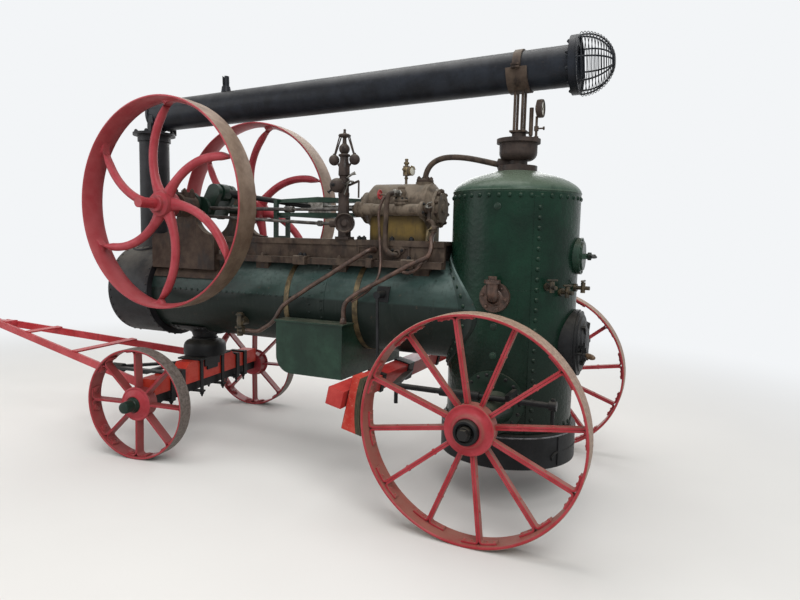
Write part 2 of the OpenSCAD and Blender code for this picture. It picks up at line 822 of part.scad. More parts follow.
// Cylinder casting with a coned front, covers and the piston rod's gland
module engine_cylinder() {
    cone_len = 55;
    gland_r = 45;
    flange_r = cyl_r - 38;
    body_x = cyl_x + 76;
    axis_z = crank_z - 3;
    oiler_x = cyl_x + 280;
    oiler_z = axis_z + cyl_r;
    color(iron_brown) world() difference() {
        union() {
            along_x(cyl_r, body_x, cyl_front - cone_len, 0, axis_z);
            translate([cyl_front - cone_len, 0, axis_z]) rotate([0, 90, 0])
                cylinder(r1 = cyl_r, r2 = cyl_r - 50, h = cone_len);
            translate([cyl_x + 36, 0, axis_z]) rotate([0, 90, 0])
                cylinder(r1 = flange_r - 6, r2 = cyl_r, h = body_x - cyl_x - 36);
            along_x(flange_r, cyl_x + 20, cyl_x + 37, 0, axis_z);
            along_x(flange_r - 26, cyl_x + 4, cyl_x + 21, 0, axis_z);
            along_x(cyl_r - 55, cyl_front - 1, cyl_front + 30, 0, crank_z);
            along_x(gland_r, cyl_front, cyl_front + 62, 0, crank_z);
            along_z(62, crank_z + 100, steam_seat_z, steam_x, 0);
            along_z(9, oiler_z - 6, oiler_z + 60, oiler_x, 0);
            along_z(23, oiler_z + 56, oiler_z + 122, oiler_x, 0);
            along_z(11, oiler_z + 120, oiler_z + 168, oiler_x, 0);
            along_x(30, oiler_x - 46, oiler_x - 20, 0, oiler_z + 86);
        }
        along_x(piston_r + run_fit, cyl_front - 60, cyl_front + 70, 0, crank_z);
    }
}

// Painted jacket that stands on the bed and holds the cylinder
module cylinder_jacket() {
    half = 155;
    x0 = cyl_x + 75;
    x1 = cyl_front - 55;
    corner = 45;
    color(ochre) world() difference() {
        union() {
            block(x0 + corner, x1 - corner, -half, half, bed_z, crank_z - 60);
            block(x0, x1, corner - half, half - corner, bed_z, crank_z - 60);
            for (x = [x0 + corner, x1 - corner], s = [-1, 1])
                along_z(corner, bed_z, crank_z - 60, x, s * (half - corner));
        }
        along_x(cyl_r + seat, x0 - 100, x1 + 100, 0, crank_z - 3);
    }
}

// Steam chest tube along the cylinder's left side, with flanges and stop valve
module valve_chest() {
    chest_r = 37;
    x0 = cyl_x + 60;
    x1 = cyl_front - 43;
    valve_x = x0 + 165;
    wheel_x = valve_x + 150;
    wheel_z = valve_rod_z + 97;
    color(iron_brown) world() {
        difference() {
            union() {
                along_x(chest_r, x0, x1, valve_rod_y, valve_rod_z);
                along_x(chest_r + 4, x1 - 70, x1, valve_rod_y, valve_rod_z);
                for (x = [x0 - 1, x1 - 1, x1 + 29]) along_x(chest_r + 15, x, x + 26, valve_rod_y, valve_rod_z);
                along_x(chest_r - 6, x1, x1 + 77, valve_rod_y, valve_rod_z);
                block(x0 + 70, x1 - 40, 100, valve_rod_y, valve_rod_z - 25, valve_rod_z + 28);
                along_z(25, valve_rod_z, valve_rod_z + 150, valve_x, valve_rod_y);
                for (z = [32, 50]) along_z(46, valve_rod_z + z, valve_rod_z + z + 14, valve_x, valve_rod_y);
                along_x(8, valve_x, wheel_x + 8, valve_rod_y + 12, wheel_z);
                along_x(33, wheel_x - 6, wheel_x + 4, valve_rod_y + 12, wheel_z);
            }
            along_x(cyl_r + seat, x0 - 100, x1 + 100, 0, crank_z - 3);
            along_x(valve_rod_r + run_fit, x1 - 50, x1 + 80, valve_rod_y, valve_rod_z);
        }
    }
}

// Upper and lower slide bars between the cylinder and a yoke on the bed
module slide_bars() {
    deep = 40;
    thin = 22;
    yoke_x = bar_end_x - 40;
    lower = crank_z - bar_gap;
    upper = crank_z + bar_gap;
    color(green) world() {
        both_sides() translate([0, bar_half, 0]) rotate([90, 0, 0]) linear_extrude(bar_half - rod_slot) {
            polygon([[bar_x0, upper], [bar_end_x, upper], [bar_end_x, upper + thin],
                [(bar_x0 + bar_end_x) / 2, upper + deep], [bar_x0, upper + thin]]);
            polygon([[bar_x0, lower], [bar_end_x, lower], [bar_end_x, lower - thin],
                [(bar_x0 + bar_end_x) / 2, lower - deep], [bar_x0, lower - thin]]);
        }
        difference() {
            block(yoke_x, yoke_x + 32, -bar_half - 26, bar_half + 26, bed_z, upper + thin);
            block(yoke_x - 1, yoke_x + 33, -bar_half, bar_half, lower, upper);
            block(yoke_x - 1, yoke_x + 33, -rod_slot, rod_slot, lower - thin, upper + thin + 1);
            block(yoke_x - 1, yoke_x + 33, -bar_half - 4, bar_half + 4, bed_z + 14, lower - thin - 16);
        }
    }
}

module crosshead() {
    half_x = 62;
    half_y = bar_half - 2;
    slipper = 14;
    low = crank_z - bar_gap + seat;
    high = crank_z + bar_gap - seat;
    color(steel) world() {
        difference() {
            union() {
                block(crosshead_x - half_x, crosshead_x + half_x, -half_y, half_y, low, low + slipper);
                block(crosshead_x - half_x, crosshead_x + half_x, -half_y, half_y, high - slipper, high);
                block(crosshead_x - half_x, crosshead_x + half_x - 20, -half_y, half_y, low, high);
            }
            block(crosshead_x - half_x + 30, crosshead_x + half_x + 1, -rod_slot, rod_slot, low - 1, high + 1);
        }
        along_x(piston_r, cyl_front - 30, crosshead_x - half_x + 10, 0, crank_z);
        along_y(cross_pin_r, -rod_slot - 2, rod_slot + 2, crosshead_x, crank_z);
    }
}

// Connecting rod, open at the crank pin so that the crank turns clear of it
module connecting_rod() {
    small = [crosshead_x, 0, crank_z];
    big = [pin_x, 0, pin_z];
    along = unit(big - small);
    color(black) world() difference() {
        union() {
            bar(small + along * 18, big - along * 90, rod_r);
            bar(big - along * 190, big - along * 40, 34);
            along_y(24, -rod_r, rod_r, crosshead_x, crank_z);
        }
        along_y(cross_pin_r + run_fit, -60, 60, crosshead_x, crank_z);
        along_y(crank_throw + big_end_r + pass, -60, 60, crank_x, crank_z);
    }
}

// Eccentric rods: the upper drives the valve, the lower the feed pump
module valve_gear() {
    joint_x = 1640;
    pump_joint_x = gov_x + 200;
    color(steel) world() {
        difference() {
            union() {
                bar([joint_x, valve_rod_y, valve_rod_z], [crank_x - 100, valve_rod_y, crank_z - 10], 13);
                along_x(22, joint_x - 50, joint_x + 20, valve_rod_y, valve_rod_z);
                along_x(valve_rod_r, cyl_front - 90, joint_x - 40, valve_rod_y, valve_rod_z);
                along_x(12, gov_x + 60, pump_joint_x, pump_y, pump_z);
                along_y(20, pump_y - 15, pump_y + 15, pump_joint_x, pump_z);
                bar([pump_joint_x, pump_y, pump_z], [crank_x - 100, pump_y, crank_z - 72], 12);
            }
            along_y(ecc_reach + pass, 150, 300, crank_x, crank_z);
        }
    }
}

// Feed pump on the bed's edge: a round body with a pad on top for the governor
module feed_pump() {
    pump_r = 48;
    rod_hole = 12 + run_fit;
    color(iron_brown) world() difference() {
        union() {
            along_y(pump_r, pump_y - 28, gov_y + 34, gov_x, pump_z);
            along_x(26, gov_x, gov_x + 114, pump_y, pump_z);
            block(gov_x - 30, gov_x + 30, pump_y - 24, gov_y + 20, bed_z, pump_z);
            block(gov_x - 50, gov_x + 50, pump_y - 36, gov_y + 26, bed_z, bed_z + 18);
            block(gov_x - 34, gov_x + 34, gov_y - 34, gov_y + 30, pump_z, pump_top);
        }
        along_x(rod_hole, gov_x + 50, gov_x + 120, pump_y, pump_z);
        along_y(22, gov_y + 22, gov_y + 40, gov_x, pump_z);
    }
}

// Governor stand with its lever and counterweight
module governor_column() {
    foot = pump_top + seat;
    weight = [gov_x + 10, gov_y + 76, stand_top - 52];
    lever_end = [gov_x - 118, gov_y + 10, stand_top - 20];
    color(iron_brown) world() {
        along_z(44, foot, foot + 12, gov_x, gov_y);
        translate([gov_x, gov_y, foot + 11]) cylinder(r1 = 38, r2 = 33, h = stand_top - foot - 11);
        along_z(38, stand_top - 120, stand_top - 96, gov_x, gov_y);
        along_z(37, stand_top - 30, stand_top, gov_x, gov_y);
        along_z(spindle_r, stand_top - 2, stand_top + 150, gov_x, gov_y);
        bar([gov_x, gov_y + 10, stand_top - 70], weight, 8);
        translate(weight) ball(48);
        bar([gov_x, gov_y, stand_top - 60], lever_end, 8);
        bar(lever_end, lever_end - [0, 0, 110], 6);
    }
}
// The spinning head: sleeve, two hanging balls and the crown
module governor_head() {
    z0 = stand_top + 1;
    ball_r = 36;
    ball_z = stand_top + 122;
    ball_out = 78;
    pot_z = stand_top + 195;
    pot_r = 35;
    crown_z = stand_top + 285;
    tip_z = stand_top + 322;
    hole_r = spindle_r + run_fit;
    hole_z = stand_top + 160;
    rod = 16;
    color(black) world() translate([gov_x, gov_y, 0]) {
        rotate_extrude(convexity = 6) polygon(concat(
            [[hole_r, z0], [36, z0], [25, z0 + 96], [rod, z0 + 96]],
            [for (a = [-60:15:60]) [pot_r * cos(a), pot_z + pot_r * sin(a)]],
            [[rod, pot_z + 36], [rod, crown_z], [34, crown_z], [12, crown_z + 14], [7, crown_z + 14], [7, tip_z],
                [0, tip_z], [0, hole_z], [hole_r, hole_z]]
        ));
        for (s = [-1, 1]) {
            translate([s * ball_out, 0, ball_z]) ball(ball_r);
            bar([s * (ball_out - 6), 0, ball_z + 20], [s * 24, 0, crown_z + 4], 7);
            bar([s * (ball_out - 20), 0, ball_z - 10], [s * 22, 0, z0 + 60], 6);
        }
    }
}

// Steam pipe from the dome to the cylinder, with its flange
module steam_pipe() {
    pipe_r = 19;
    high_z = steam_seat_z + 162;
    slope_x = 400;
    color(iron_brown) world() {
        along_z(58, steam_seat_z + seat, steam_seat_z + 16, steam_x, 0);
        pipe([[steam_x, 0, steam_seat_z + 10], [steam_x - 4, 0, high_z], [slope_x, 0, high_z],
            [steam_boss_x + 70, 0, steam_boss_z], [steam_boss_x + seat, 0, steam_boss_z]], pipe_r, 105, 14, 6);
    }
}

// Saddle-shaped feed tank slung under the barrel
module feed_tank() {
    tank_z0 = 665;
    tank_z1 = tank_top - tank_lid;
    round_r = 120;
    color(green) world() difference() {
        union() {
            block(tank_x0, tank_x1, -tank_half, tank_half, tank_z0 + round_r, tank_z1);
            block(tank_x0, tank_x1 - round_r, -tank_half, tank_half, tank_z0, tank_z0 + round_r + 1);
            along_y(round_r, -tank_half, tank_half, tank_x1 - round_r, tank_z0 + round_r);
            block(tank_x0 - tank_lid, tank_x1 + tank_lid, -tank_half - tank_lid, tank_half + tank_lid,
                tank_z1 - 1, tank_top);
        }
        barrel_space(2 * seat + band_t);
    }
}

// Copper feed pipes on the left side, each with a union at its upper end
module feed_pipes() {
    pipe_r = 15;
    union_r = 24;
    clack_x = 905;
    clack_z = 1520;
    drop_x = 1052;
    drop_y = 396;
    end_x = check_x - 25;
    end_y = check_y + 14;
    color(copper) world() {
        along_y(union_r, bed_half + seat, bed_half + 20, clack_x, clack_z);
        pipe([[clack_x, bed_half + 12, clack_z], [clack_x, 330, clack_z], [1310, 400, 1262], [1520, 420, 1125],
            [1592, 422, 1005], [1744, 390, 920], [end_x - 45, end_y, check_z], [end_x, end_y, check_z]],
            pipe_r, 40, 10, 4);
        along_x(20, 490, cyl_x + 59 - seat, valve_rod_y, valve_rod_z);
        pipe([[510, valve_rod_y, valve_rod_z], [506, valve_rod_y, 1672], [468, 310, 1650], [464, 340, 1500],
            [600, 352, 1436], [760, 390, 1342], [960, 400, 1235], [drop_x, drop_y, 1165], [drop_x, drop_y, tank_top + seat]],
            pipe_r, 35, 10, 4);
        along_z(union_r, tank_top + seat, tank_top + 18, drop_x, drop_y);
    }
}

// Brass check valve on the barrel's left side
module check_valve() {
    body_x = check_x + 20;
    color(brass) world() {
        difference() {
            along_y(34, 150, check_y, body_x, check_z + 70);
            barrel_space();
        }
        along_z(22, check_z - 38, check_z + 132, body_x, check_y);
        along_z(36, check_z + 20, check_z + 32, body_x, check_y);
        along_z(30, check_z + 112, check_z + 124, body_x, check_y);
        along_x(20, check_x - 25 + seat, body_x, check_y + 14, check_z);
    }
}

// Round cover on the shell's left side with an elbow
module mud_hole_elbow() {
    z = 1270;
    disc_r = 88;
    tube_r = 34;
    bend_r = 40;
    bend_y = firebox_r + 30;
    out_y = bend_y + bend_r;
    color(copper) world() {
        difference() {
            along_y(disc_r, 300, firebox_r + 26, firebox_x, z);
            firebox_space();
        }
        along_y(tube_r, firebox_r + 20, bend_y, firebox_x, z);
        translate([firebox_x, bend_y, z + bend_r]) rotate([0, 90, 0]) rotate_extrude(angle = 90)
            translate([bend_r, 0]) circle(r = tube_r, $fn = 48);
        along_z(tube_r, z + bend_r, z + 92, firebox_x, out_y);
        along_z(48, z + 84, z + 104, firebox_x, out_y);
        translate([firebox_x, out_y, z + 103]) cylinder(r = 26, h = 22, $fn = 6);
    }
}

// Three test cocks round the back of the shell: angle from forward, height
module try_cocks() {
    cocks = [[134, 1338], [149, 1306], [173, 1326]];
    color(brass) world() translate([firebox_x, 0, 0]) for (c = cocks) rotate([0, 0, c[0]]) {
        difference() {
            along_x(24, firebox_r - 30, firebox_r + 16, 0, c[1]);
            along_z(firebox_r + seat, 0, dome_top, 0, 0);
        }
        along_x(12, firebox_r + 15, firebox_r + 92, 0, c[1]);
        along_z(14, c[1] - 30, c[1] + 34, firebox_r + 52, 0);
        along_y(6, -34, 34, firebox_r + 52, c[1] + 42);
        along_z(5, c[1] + 30, c[1] + 44, firebox_r + 52, 0);
    }
}

// Timber brake beam across the engine
module brake_beam() {
    half_len = 985;
    color(wood_red) on_beam() block(-brake_half, brake_half, -half_len, half_len, -brake_half, brake_half);
}
// Wooden brake blocks shaped to the rear rims, each bolted to an iron strip on the beam
module brake_shoes() {
    shoe_gap = 8;
    iron_x = -brake_half - seat - brake_iron_t;
    color(wood_red) both_sides() {
        difference() {
            on_beam() block(-200, iron_x + 1, rear_y - 55, rear_y + 55, -172, 145);
            world() along_y(rear_r + shoe_gap, rear_y - 80, rear_y + 80, 0, rear_z);
        }
        on_beam() block(iron_x, iron_x + brake_iron_t, rear_y - 30, rear_y + 30, -165, 130);
    }
}

// Draws in the frame of the brake beam, which leans back over the wheels' rims
module on_beam() {
    world() translate([beam_x, 0, brake_z]) rotate([0, -brake_lean, 0]) children();
}

// Iron strap round the brake beam
module beam_strap(y, w) {
    on_beam() difference() {
        block(-strap_out, strap_out, y - w / 2, y + w / 2, -strap_out, strap_out);
        block(-strap_in, strap_in, y - w, y + w, -strap_in, strap_in);
    }
}
// Brake gear: screw rod, its bracket, and the hangers that carry the beam from the barrel
module brake_gear() {
    rod_y = 545;
    rod_z = 706;
    rod_back = -380;
    rod_x = 612;
    brace_y = 66;
    color(grey_green) {
        world() {
            along_x(17, rod_back, rod_x, rod_y, rod_z);
            along_x(26, 60, 300, rod_y, rod_z);
            along_x(28, rod_back, rod_back + 40, rod_y, rod_z);
            along_z(11, rod_z - 130, rod_z + 40, rod_back + 20, rod_y);
            along_z(12, rod_z - 110, rod_z, rod_x - 24, rod_y);
            difference() {
                block(-120, -96, 150, rod_y + 20, rod_z - 30, rod_z + 30);
                firebox_space(axle_plate_t + 2 * seat);
            }
        }
        difference() {
            world() flat_bar([rod_x - 6, rod_y, rod_z - 8], [beam_x - strap_out + 4, brace_y, rod_z - 8], 45, 12);
            on_beam() block(1 - strap_out, strap_out, -rod_y, rod_y, -strap_out, strap_out);
        }
        beam_strap(brace_y, 90);
        both_sides() brake_hanger();
    }
}
// A hanger rod from a riveted plate on the barrel to the strap round the beam
module brake_hanger() {
    top_x = 807;
    top_y = 392;
    top_z = 1235;
    plate_t = 9;
    strap_top = strap_out - 2;
    world() {
        difference() {
            union() {
                along_y(24, 200, top_y + 12, top_x, top_z);
                intersection() {
                    along_x(barrel_r + seat + plate_t, top_x - 45, top_x + 45, 0, barrel_z);
                    block(top_x - 50, top_x + 50, 200, 400, top_z - 50, top_z + 50);
                }
            }
            barrel_space();
        }
        bar([top_x, top_y - 2, top_z],
            [beam_x - strap_top * sin(brake_lean), hanger_y, brake_z + strap_top * cos(brake_lean)], 10);
    }
    beam_strap(hanger_y, 40);
}

// King post: riveted saddle under the barrel, neck and pin
module king_post() {
    saddle_half = 180;
    saddle_t = 14;
    neck_r = 92;
    pin_bottom = beam_top + pass;
    color(black) world() difference() {
        union() {
            difference() {
                along_x(barrel_r + seat + saddle_t, king_x - saddle_half, king_x + saddle_half, 0, barrel_z);
                block(king_x - 300, king_x + 300, -400, 400, barrel_z - 265, barrel_z + 400);
            }
            translate([king_x, 0, neck_z]) cylinder(r1 = neck_r, r2 = neck_r + 40, h = 120);
            along_z(king_pin_r, pin_bottom, neck_z + 1, king_x, 0);
        }
        barrel_space();
    }
}

// Turntable dome that turns on the king pin
module turntable() {
    top_z = neck_z - pass;
    skirt_z = beam_top;
    color(black) steered() rotate_extrude(convexity = 4) polygon(concat(
        [[king_pin_r + run_fit, skirt_z], [275, skirt_z], [275, skirt_z + 26]],
        [for (a = [0:15:90]) [262 - 122 * sin(a), skirt_z + 26 + 84 * (1 - cos(a))]],
        [[118, skirt_z + 124], [118, top_z], [king_pin_r + run_fit, top_z]]
    ));
}

// Iron front axle with its stubs, end nuts and U-bolt straps
module front_axle() {
    stub_r_front = 28;
    shoulder = front_y - 80;
    tip = front_y + 128;
    strap_y = [380, 500];
    strap_t = 12;
    strap_low = front_z - axle_half - 14;
    strap_half = 24;
    color(black) steered() {
        block(-axle_half, axle_half, -shoulder, shoulder, front_z - axle_half, beam_low - seat);
        both_sides() {
            along_y(stub_r_front, shoulder - 10, tip, 0, front_z);
            along_y(stub_r_front + 12, shoulder - 12, shoulder, 0, front_z);
            for (y = strap_y) difference() {
                block(-beam_half - strap_t, beam_half + strap_t, y - strap_half, y + strap_half,
                    strap_low, beam_end_z + strap_t);
                block(-beam_half - seat, beam_half + seat, y - strap_half - 1, y + strap_half + 1,
                    front_z - axle_half, beam_end_z + seat);
            }
        }
    }
}

// Timber axle beam, deep in the middle and lower at the ends
module axle_beam() {
    reach = front_y - 94;
    deep_half = 285;
    slope_half = 340;
    color(orange_red) steered() translate([-beam_half, 0, 0]) rotate([90, 0, 90]) linear_extrude(2 * beam_half)
        polygon([[-reach, beam_low], [reach, beam_low], [reach, beam_end_z], [slope_half, beam_end_z],
            [deep_half, beam_top], [-deep_half, beam_top], [-slope_half, beam_end_z], [-reach, beam_end_z]]);
}

// Forked irons from the axle to the pole socket
module hounds() {
    tip_s = 935;
    root_s = beam_half + seat;
    root_o = 290;
    z_root = 500;
    z_tip = 425;
    color(black) steered() {
        both_sides() {
            flat_bar([root_s + 20, root_o, z_root], [tip_s - 30, 22, z_tip], 50, 22);
            block(root_s, root_s + 22, root_o - 40, root_o + 40, z_root - 50, z_root + 36);
        }
        along_x(38, tip_s - 110, tip_s, 0, z_tip);
        block(420, 460, -200, 200, z_tip + 18, z_tip + 42);
        both_sides() drawbar_ear();
    }
}
// Ear on the beam's front with the pin that carries one drawbar arm
module drawbar_ear() {
    ear_o = draw_root + 26;
    ear_r = 30;
    along_y(ear_r, ear_o, ear_o + 20, draw_s, draw_z);
    block(beam_half + seat, draw_s, ear_o, ear_o + 20, draw_z - ear_r, draw_z + ear_r);
    block(beam_half + seat, beam_half + 14, draw_root, ear_o + 44, beam_low + 6, beam_end_z - 6);
    along_y(draw_pin_r, draw_root - 24, ear_o + 20, draw_s, draw_z);
}

// Place of a drawbar arm's middle line: distance out and height at s ahead of the king pin
function arm_share(s) = (s - draw_s) / (arm_tip_s - draw_s);
function arm_out(s) = draw_root + (arm_tip_o - draw_root) * arm_share(s);
function arm_height(s) = draw_z + (arm_tip_z - draw_z) * arm_share(s);

// The two arms of the drawbar, hinged at the axle
module drawbar_arms() {
    color(crimson) steered() both_sides() difference() {
        union() {
            drawbar_arm();
            along_y(34, draw_root - 16, draw_root + 20, draw_s, draw_z);
        }
        along_y(draw_pin_r + run_fit, draw_root - 30, draw_root + 30, draw_s, draw_z);
    }
}
module drawbar_arm() {
    run = norm([arm_tip_s - draw_s, arm_tip_o - draw_root]);
    rise = arm_tip_z - draw_z;
    translate([draw_s, draw_root, draw_z]) rotate([0, 0, -arm_turn])
        rotate([90, 0, 0]) translate([0, 0, -arm_w / 2]) linear_extrude(arm_w)
        polygon([[0, -arm_h / 2], [run, rise - arm_h / 2], [run, rise + arm_h / 2], [0, arm_h / 2]]);
}
// Flat bars across the arms, bolted down on their tops
module drawbar_cross_bars() {
    cross_s = [1010, 1700];
    half_w = 28;
    bar_t = 12;
    lift = seat + 0.35;
    pitch = atan((arm_tip_z - draw_z) / (arm_tip_s - draw_s) * pow(cos(arm_turn), 2));
    color(crimson) steered() for (s = cross_s) translate([s, 0, arm_height(s) + arm_h / 2 + lift])
        rotate([0, -pitch, 0]) block(-half_w, half_w, -arm_out(s) - 8, arm_out(s) + 8, 0, bar_t);
}
// Tow eye on a wedge-shaped shank that is bolted between the arms' ends
module tow_eye() {
    eye_half = 22;
    shank_half = 20;
    back_s = arm_tip_s - 110;
    side = arm_w / 2 / cos(arm_turn) + seat;
    color(crimson) steered() difference() {
        union() {
            translate([drawbar_len, 0, tow_eye_z - eye_half]) cylinder(r = eye_ring_r, h = 2 * eye_half);
            translate([0, 0, tow_eye_z - shank_half]) linear_extrude(2 * shank_half) polygon([
                [back_s, side - arm_out(back_s)], [arm_tip_s, side - arm_out(arm_tip_s)],
                [drawbar_len - eye_ring_r + 10, side - arm_out(arm_tip_s)],
                [drawbar_len - eye_ring_r + 10, arm_out(arm_tip_s) - side],
                [arm_tip_s, arm_out(arm_tip_s) - side], [back_s, arm_out(back_s) - side]
            ]);
        }
        translate([drawbar_len, 0, tow_eye_z - 60]) cylinder(r = tow_eye_r, h = 120);
    }
}

// A rear wheel about its hub, axle along +Y, outer side at +Y
module rear_wheel() {
    disc_r = 138;
    hub_r = 76;
    face = rear_y + 20;
    inner = rear_y - 118;
    difference() {
        union() {
            difference() {
                along_y(rear_r, rear_y - rear_w / 2, rear_y + rear_w / 2, 0, 0);
                along_y(rear_r - rear_rim_t, rear_y - rear_w, rear_y + rear_w, 0, 0);
            }
            along_y(hub_r, inner, face + 34, 0, 0);
            along_y(disc_r - 5, inner + 40, face - 13, 0, 0);
            along_y(disc_r, face - 14, face, 0, 0);
            translate([0, face - 1, 0]) rotate([-90, 0, 0]) cylinder(r1 = 104, r2 = hub_r, h = 28);
            along_y(67, face + 30, rear_tip - 36, 0, 0);
            for (k = [0:rear_spokes - 1]) rotate([0, 360 * k / rear_spokes, 0])
                rear_spoke(rear_y - (k % 2 == 0 ? 22 : 52), rear_y + (k % 2 == 0 ? 22 : -22));
        }
        along_y(35 + run_fit, inner - 60, rear_tip + 60, 0, 0);
    }
}
// T-shaped spoke from its hub disc to a foot on the rim
module rear_spoke(y_hub, y_rim) {
    r0 = 100;
    r1 = rear_r - rear_rim_t;
    bar_w = 42;
    bar_t = 26;
    foot_t = 12;
    foot_len = 190;
    lean = atan2(y_rim - y_hub, r1 - r0);
    translate([0, y_hub, r0]) rotate([-lean, 0, 0])
        translate([-bar_t / 2, -bar_w / 2, 0]) cube([bar_t, bar_w, (r1 - r0 - foot_t / 2) / cos(lean)]);
    intersection() {
        translate([-foot_len / 2, y_rim - bar_w / 2, r1 - 40]) cube([foot_len, bar_w, 60]);
        difference() {
            along_y(r1 + 2, y_rim - 60, y_rim + 60, 0, 0);
            along_y(r1 - foot_t, y_rim - 61, y_rim + 61, 0, 0);
        }
    }
}
module rear_wheel_left() {
    color(crimson) world() translate([0, 0, rear_z]) rear_wheel();
}
module rear_wheel_right() {
    color(crimson) world() translate([0, 0, rear_z]) mirror([0, 1, 0]) rear_wheel();
}

// A front wheel about its hub, axle along +Y, outer side at +Y
module front_wheel() {
    hub_r = 104;
    spoke_w = 74;
    spoke_t = 14;
    r1 = front_r - front_rim_t;
    foot_t = 8;
    flange_y = front_y + 24;
    difference() {
        union() {
            difference() {
                along_y(front_r, front_y - front_w / 2, front_y + front_w / 2, 0, 0);
                along_y(r1, front_y - front_w, front_y + front_w, 0, 0);
            }
            along_y(hub_r, front_y - 75, flange_y + 16, 0, 0);
            translate([0, flange_y, 0]) rotate([-90, 0, 0]) cylinder(r1 = 120, r2 = 82, h = 18);
            translate([0, flange_y + 13, 0]) rotate([-90, 0, 0])
                cylinder(r1 = 56, r2 = 40, h = front_tip - flange_y - 13);
            for (k = [0:front_spokes - 1]) rotate([0, 360 * k / front_spokes, 0]) {
                translate([-spoke_t / 2, front_y - spoke_w / 2, 30]) cube([spoke_t, spoke_w, r1 - 32]);
                intersection() {
                    translate([-70, front_y - 32, r1 - 40]) cube([140, 64, 60]);
                    difference() {
                        along_y(r1 + 2, front_y - 60, front_y + 60, 0, 0);
                        along_y(r1 - foot_t, front_y - 61, front_y + 61, 0, 0);
                    }
                }
            }
        }
        along_y(28 + run_fit, front_y - 100, front_tip - 12, 0, 0);
    }
}
module front_wheel_left() {
    color(crimson) steered() translate([0, 0, front_z]) front_wheel();
}
module front_wheel_right() {
    color(crimson) steered() translate([0, 0, front_z]) mirror([0, 1, 0]) front_wheel();
}

// Crankshaft with webs, pin, big-end ring and the two eccentrics
module crankshaft() {
    web_y = 62;
    web_t = 42;
    web_r = 62;
    color(black) world() {
        both_sides() along_y(shaft_r, web_y, hub_face, crank_x, crank_z);
        both_sides() along_y(free_end_r, hub_face - 1, shaft_len / 2, crank_x, crank_z);
        both_sides() translate([crank_x, web_y + web_t, crank_z]) rotate([90, 0, 0]) linear_extrude(web_t)
            rotate([0, 0, crank_angle]) {
                translate([-30, -web_r]) square([crank_throw + 30, 2 * web_r]);
                translate([crank_throw, 0]) circle(r = web_r);
                translate([-30, 0]) circle(r = web_r);
            }
        along_y(38, -web_y - 1, web_y + 1, pin_x, pin_z);
        along_y(big_end_r, -40, 40, pin_x, pin_z);
        for (e = [[valve_rod_y, 200], [pump_y, 40]])
            along_y(ecc_r + ecc_strap, e[0] - 15, e[0] + 15,
                crank_x + ecc_off * cos(e[1]), crank_z + ecc_off * sin(e[1]));
    }
}

// Flywheel with six round curved spokes, about its axle, outer side at +Y
module flywheel() {
    hub_r = 92;
    boss_r = 62;
    rim_in = fly_r - fly_rim_t;
    first_spoke = 24;
    difference() {
        union() {
            difference() {
                along_y(fly_r, fly_y - fly_w / 2, fly_y + fly_w / 2, 0, 0);
                along_y(rim_in, fly_y - fly_w, fly_y + fly_w, 0, 0);
            }
            along_y(hub_r, fly_y - 76, fly_y + 62, 0, 0);
            along_y(boss_r, fly_y + 60, hub_face, 0, 0);
            intersection() {
                for (k = [0:5]) rotate([0, first_spoke + 60 * k, 0]) translate([0, fly_y, 0])
                    rotate([90, 0, 180]) curved_spoke(rim_in);
                along_y(fly_r - 8, fly_y - 60, fly_y + 60, 0, 0);
            }
        }
        along_y(shaft_r + 0.05, fly_y - 200, fly_y + 200, 0, 0);
    }
}
// One spoke: it leaves the hub radially and bends over to meet the rim
module curved_spoke(rim_in) {
    from = 70 * [cos(fly_sweep), sin(fly_sweep)];
    chord = [rim_in + 8, 0] - from;
    off = fly_sweep - atan2(chord[1], chord[0]);
    arc_r = norm(chord) / (2 * sin(off));
    centre = from + arc_r * [sin(fly_sweep), -cos(fly_sweep)];
    extra = 3;
    translate([centre[0], centre[1], 0]) rotate([0, 0, 90 + fly_sweep - 2 * off - extra])
        rotate_extrude(angle = 2 * off + extra) translate([arc_r, 0]) circle(r = fly_spoke_r, $fn = 32);
}
module flywheel_left() {
    color(crimson) world() translate([crank_x, 0, crank_z]) flywheel();
}
module flywheel_right() {
    color(crimson) world() translate([crank_x, 0, crank_z]) mirror([0, 1, 0]) flywheel();
}

// Ribbed fire door with its knuckles on the right and a latch handle on the left
module fire_door() {
    cap_h = 46;
    face_x = door_seat_x;
    color(black) world() difference() {
        union() {
            along_x(fire_door_r, face_x - 16, face_x - seat, 0, fire_door_z);
            translate([face_x - 15, 0, fire_door_z]) rotate([0, -90, 0]) dish(fire_door_r - 14, cap_h);
            for (a = [-50, 0, 50]) translate([face_x, 0, fire_door_z]) rotate([a, 0, 0])
                translate([-15 - cap_h + 6, -150, -9]) cube([cap_h, 300, 18]);
            for (z = [fire_door_z - fire_knuckle_z, fire_door_z + fire_knuckle_z]) {
                block(face_x - 24, face_x - 8, -hinge_y, -130, z - knuckle_half, z + knuckle_half);
                along_z(knuckle_r, z - knuckle_half, z + knuckle_half, fire_pin_x, -hinge_y);
            }
            along_x(9, face_x - 66, face_x - 12, 165, fire_door_z - 40);
            block(face_x - 78, face_x - 62, 90, 230, fire_door_z - 52, fire_door_z - 28);
        }
        along_z(fire_pin_r + run_fit, fire_door_z - 200, fire_door_z + 200, fire_pin_x, -hinge_y);
    }
}

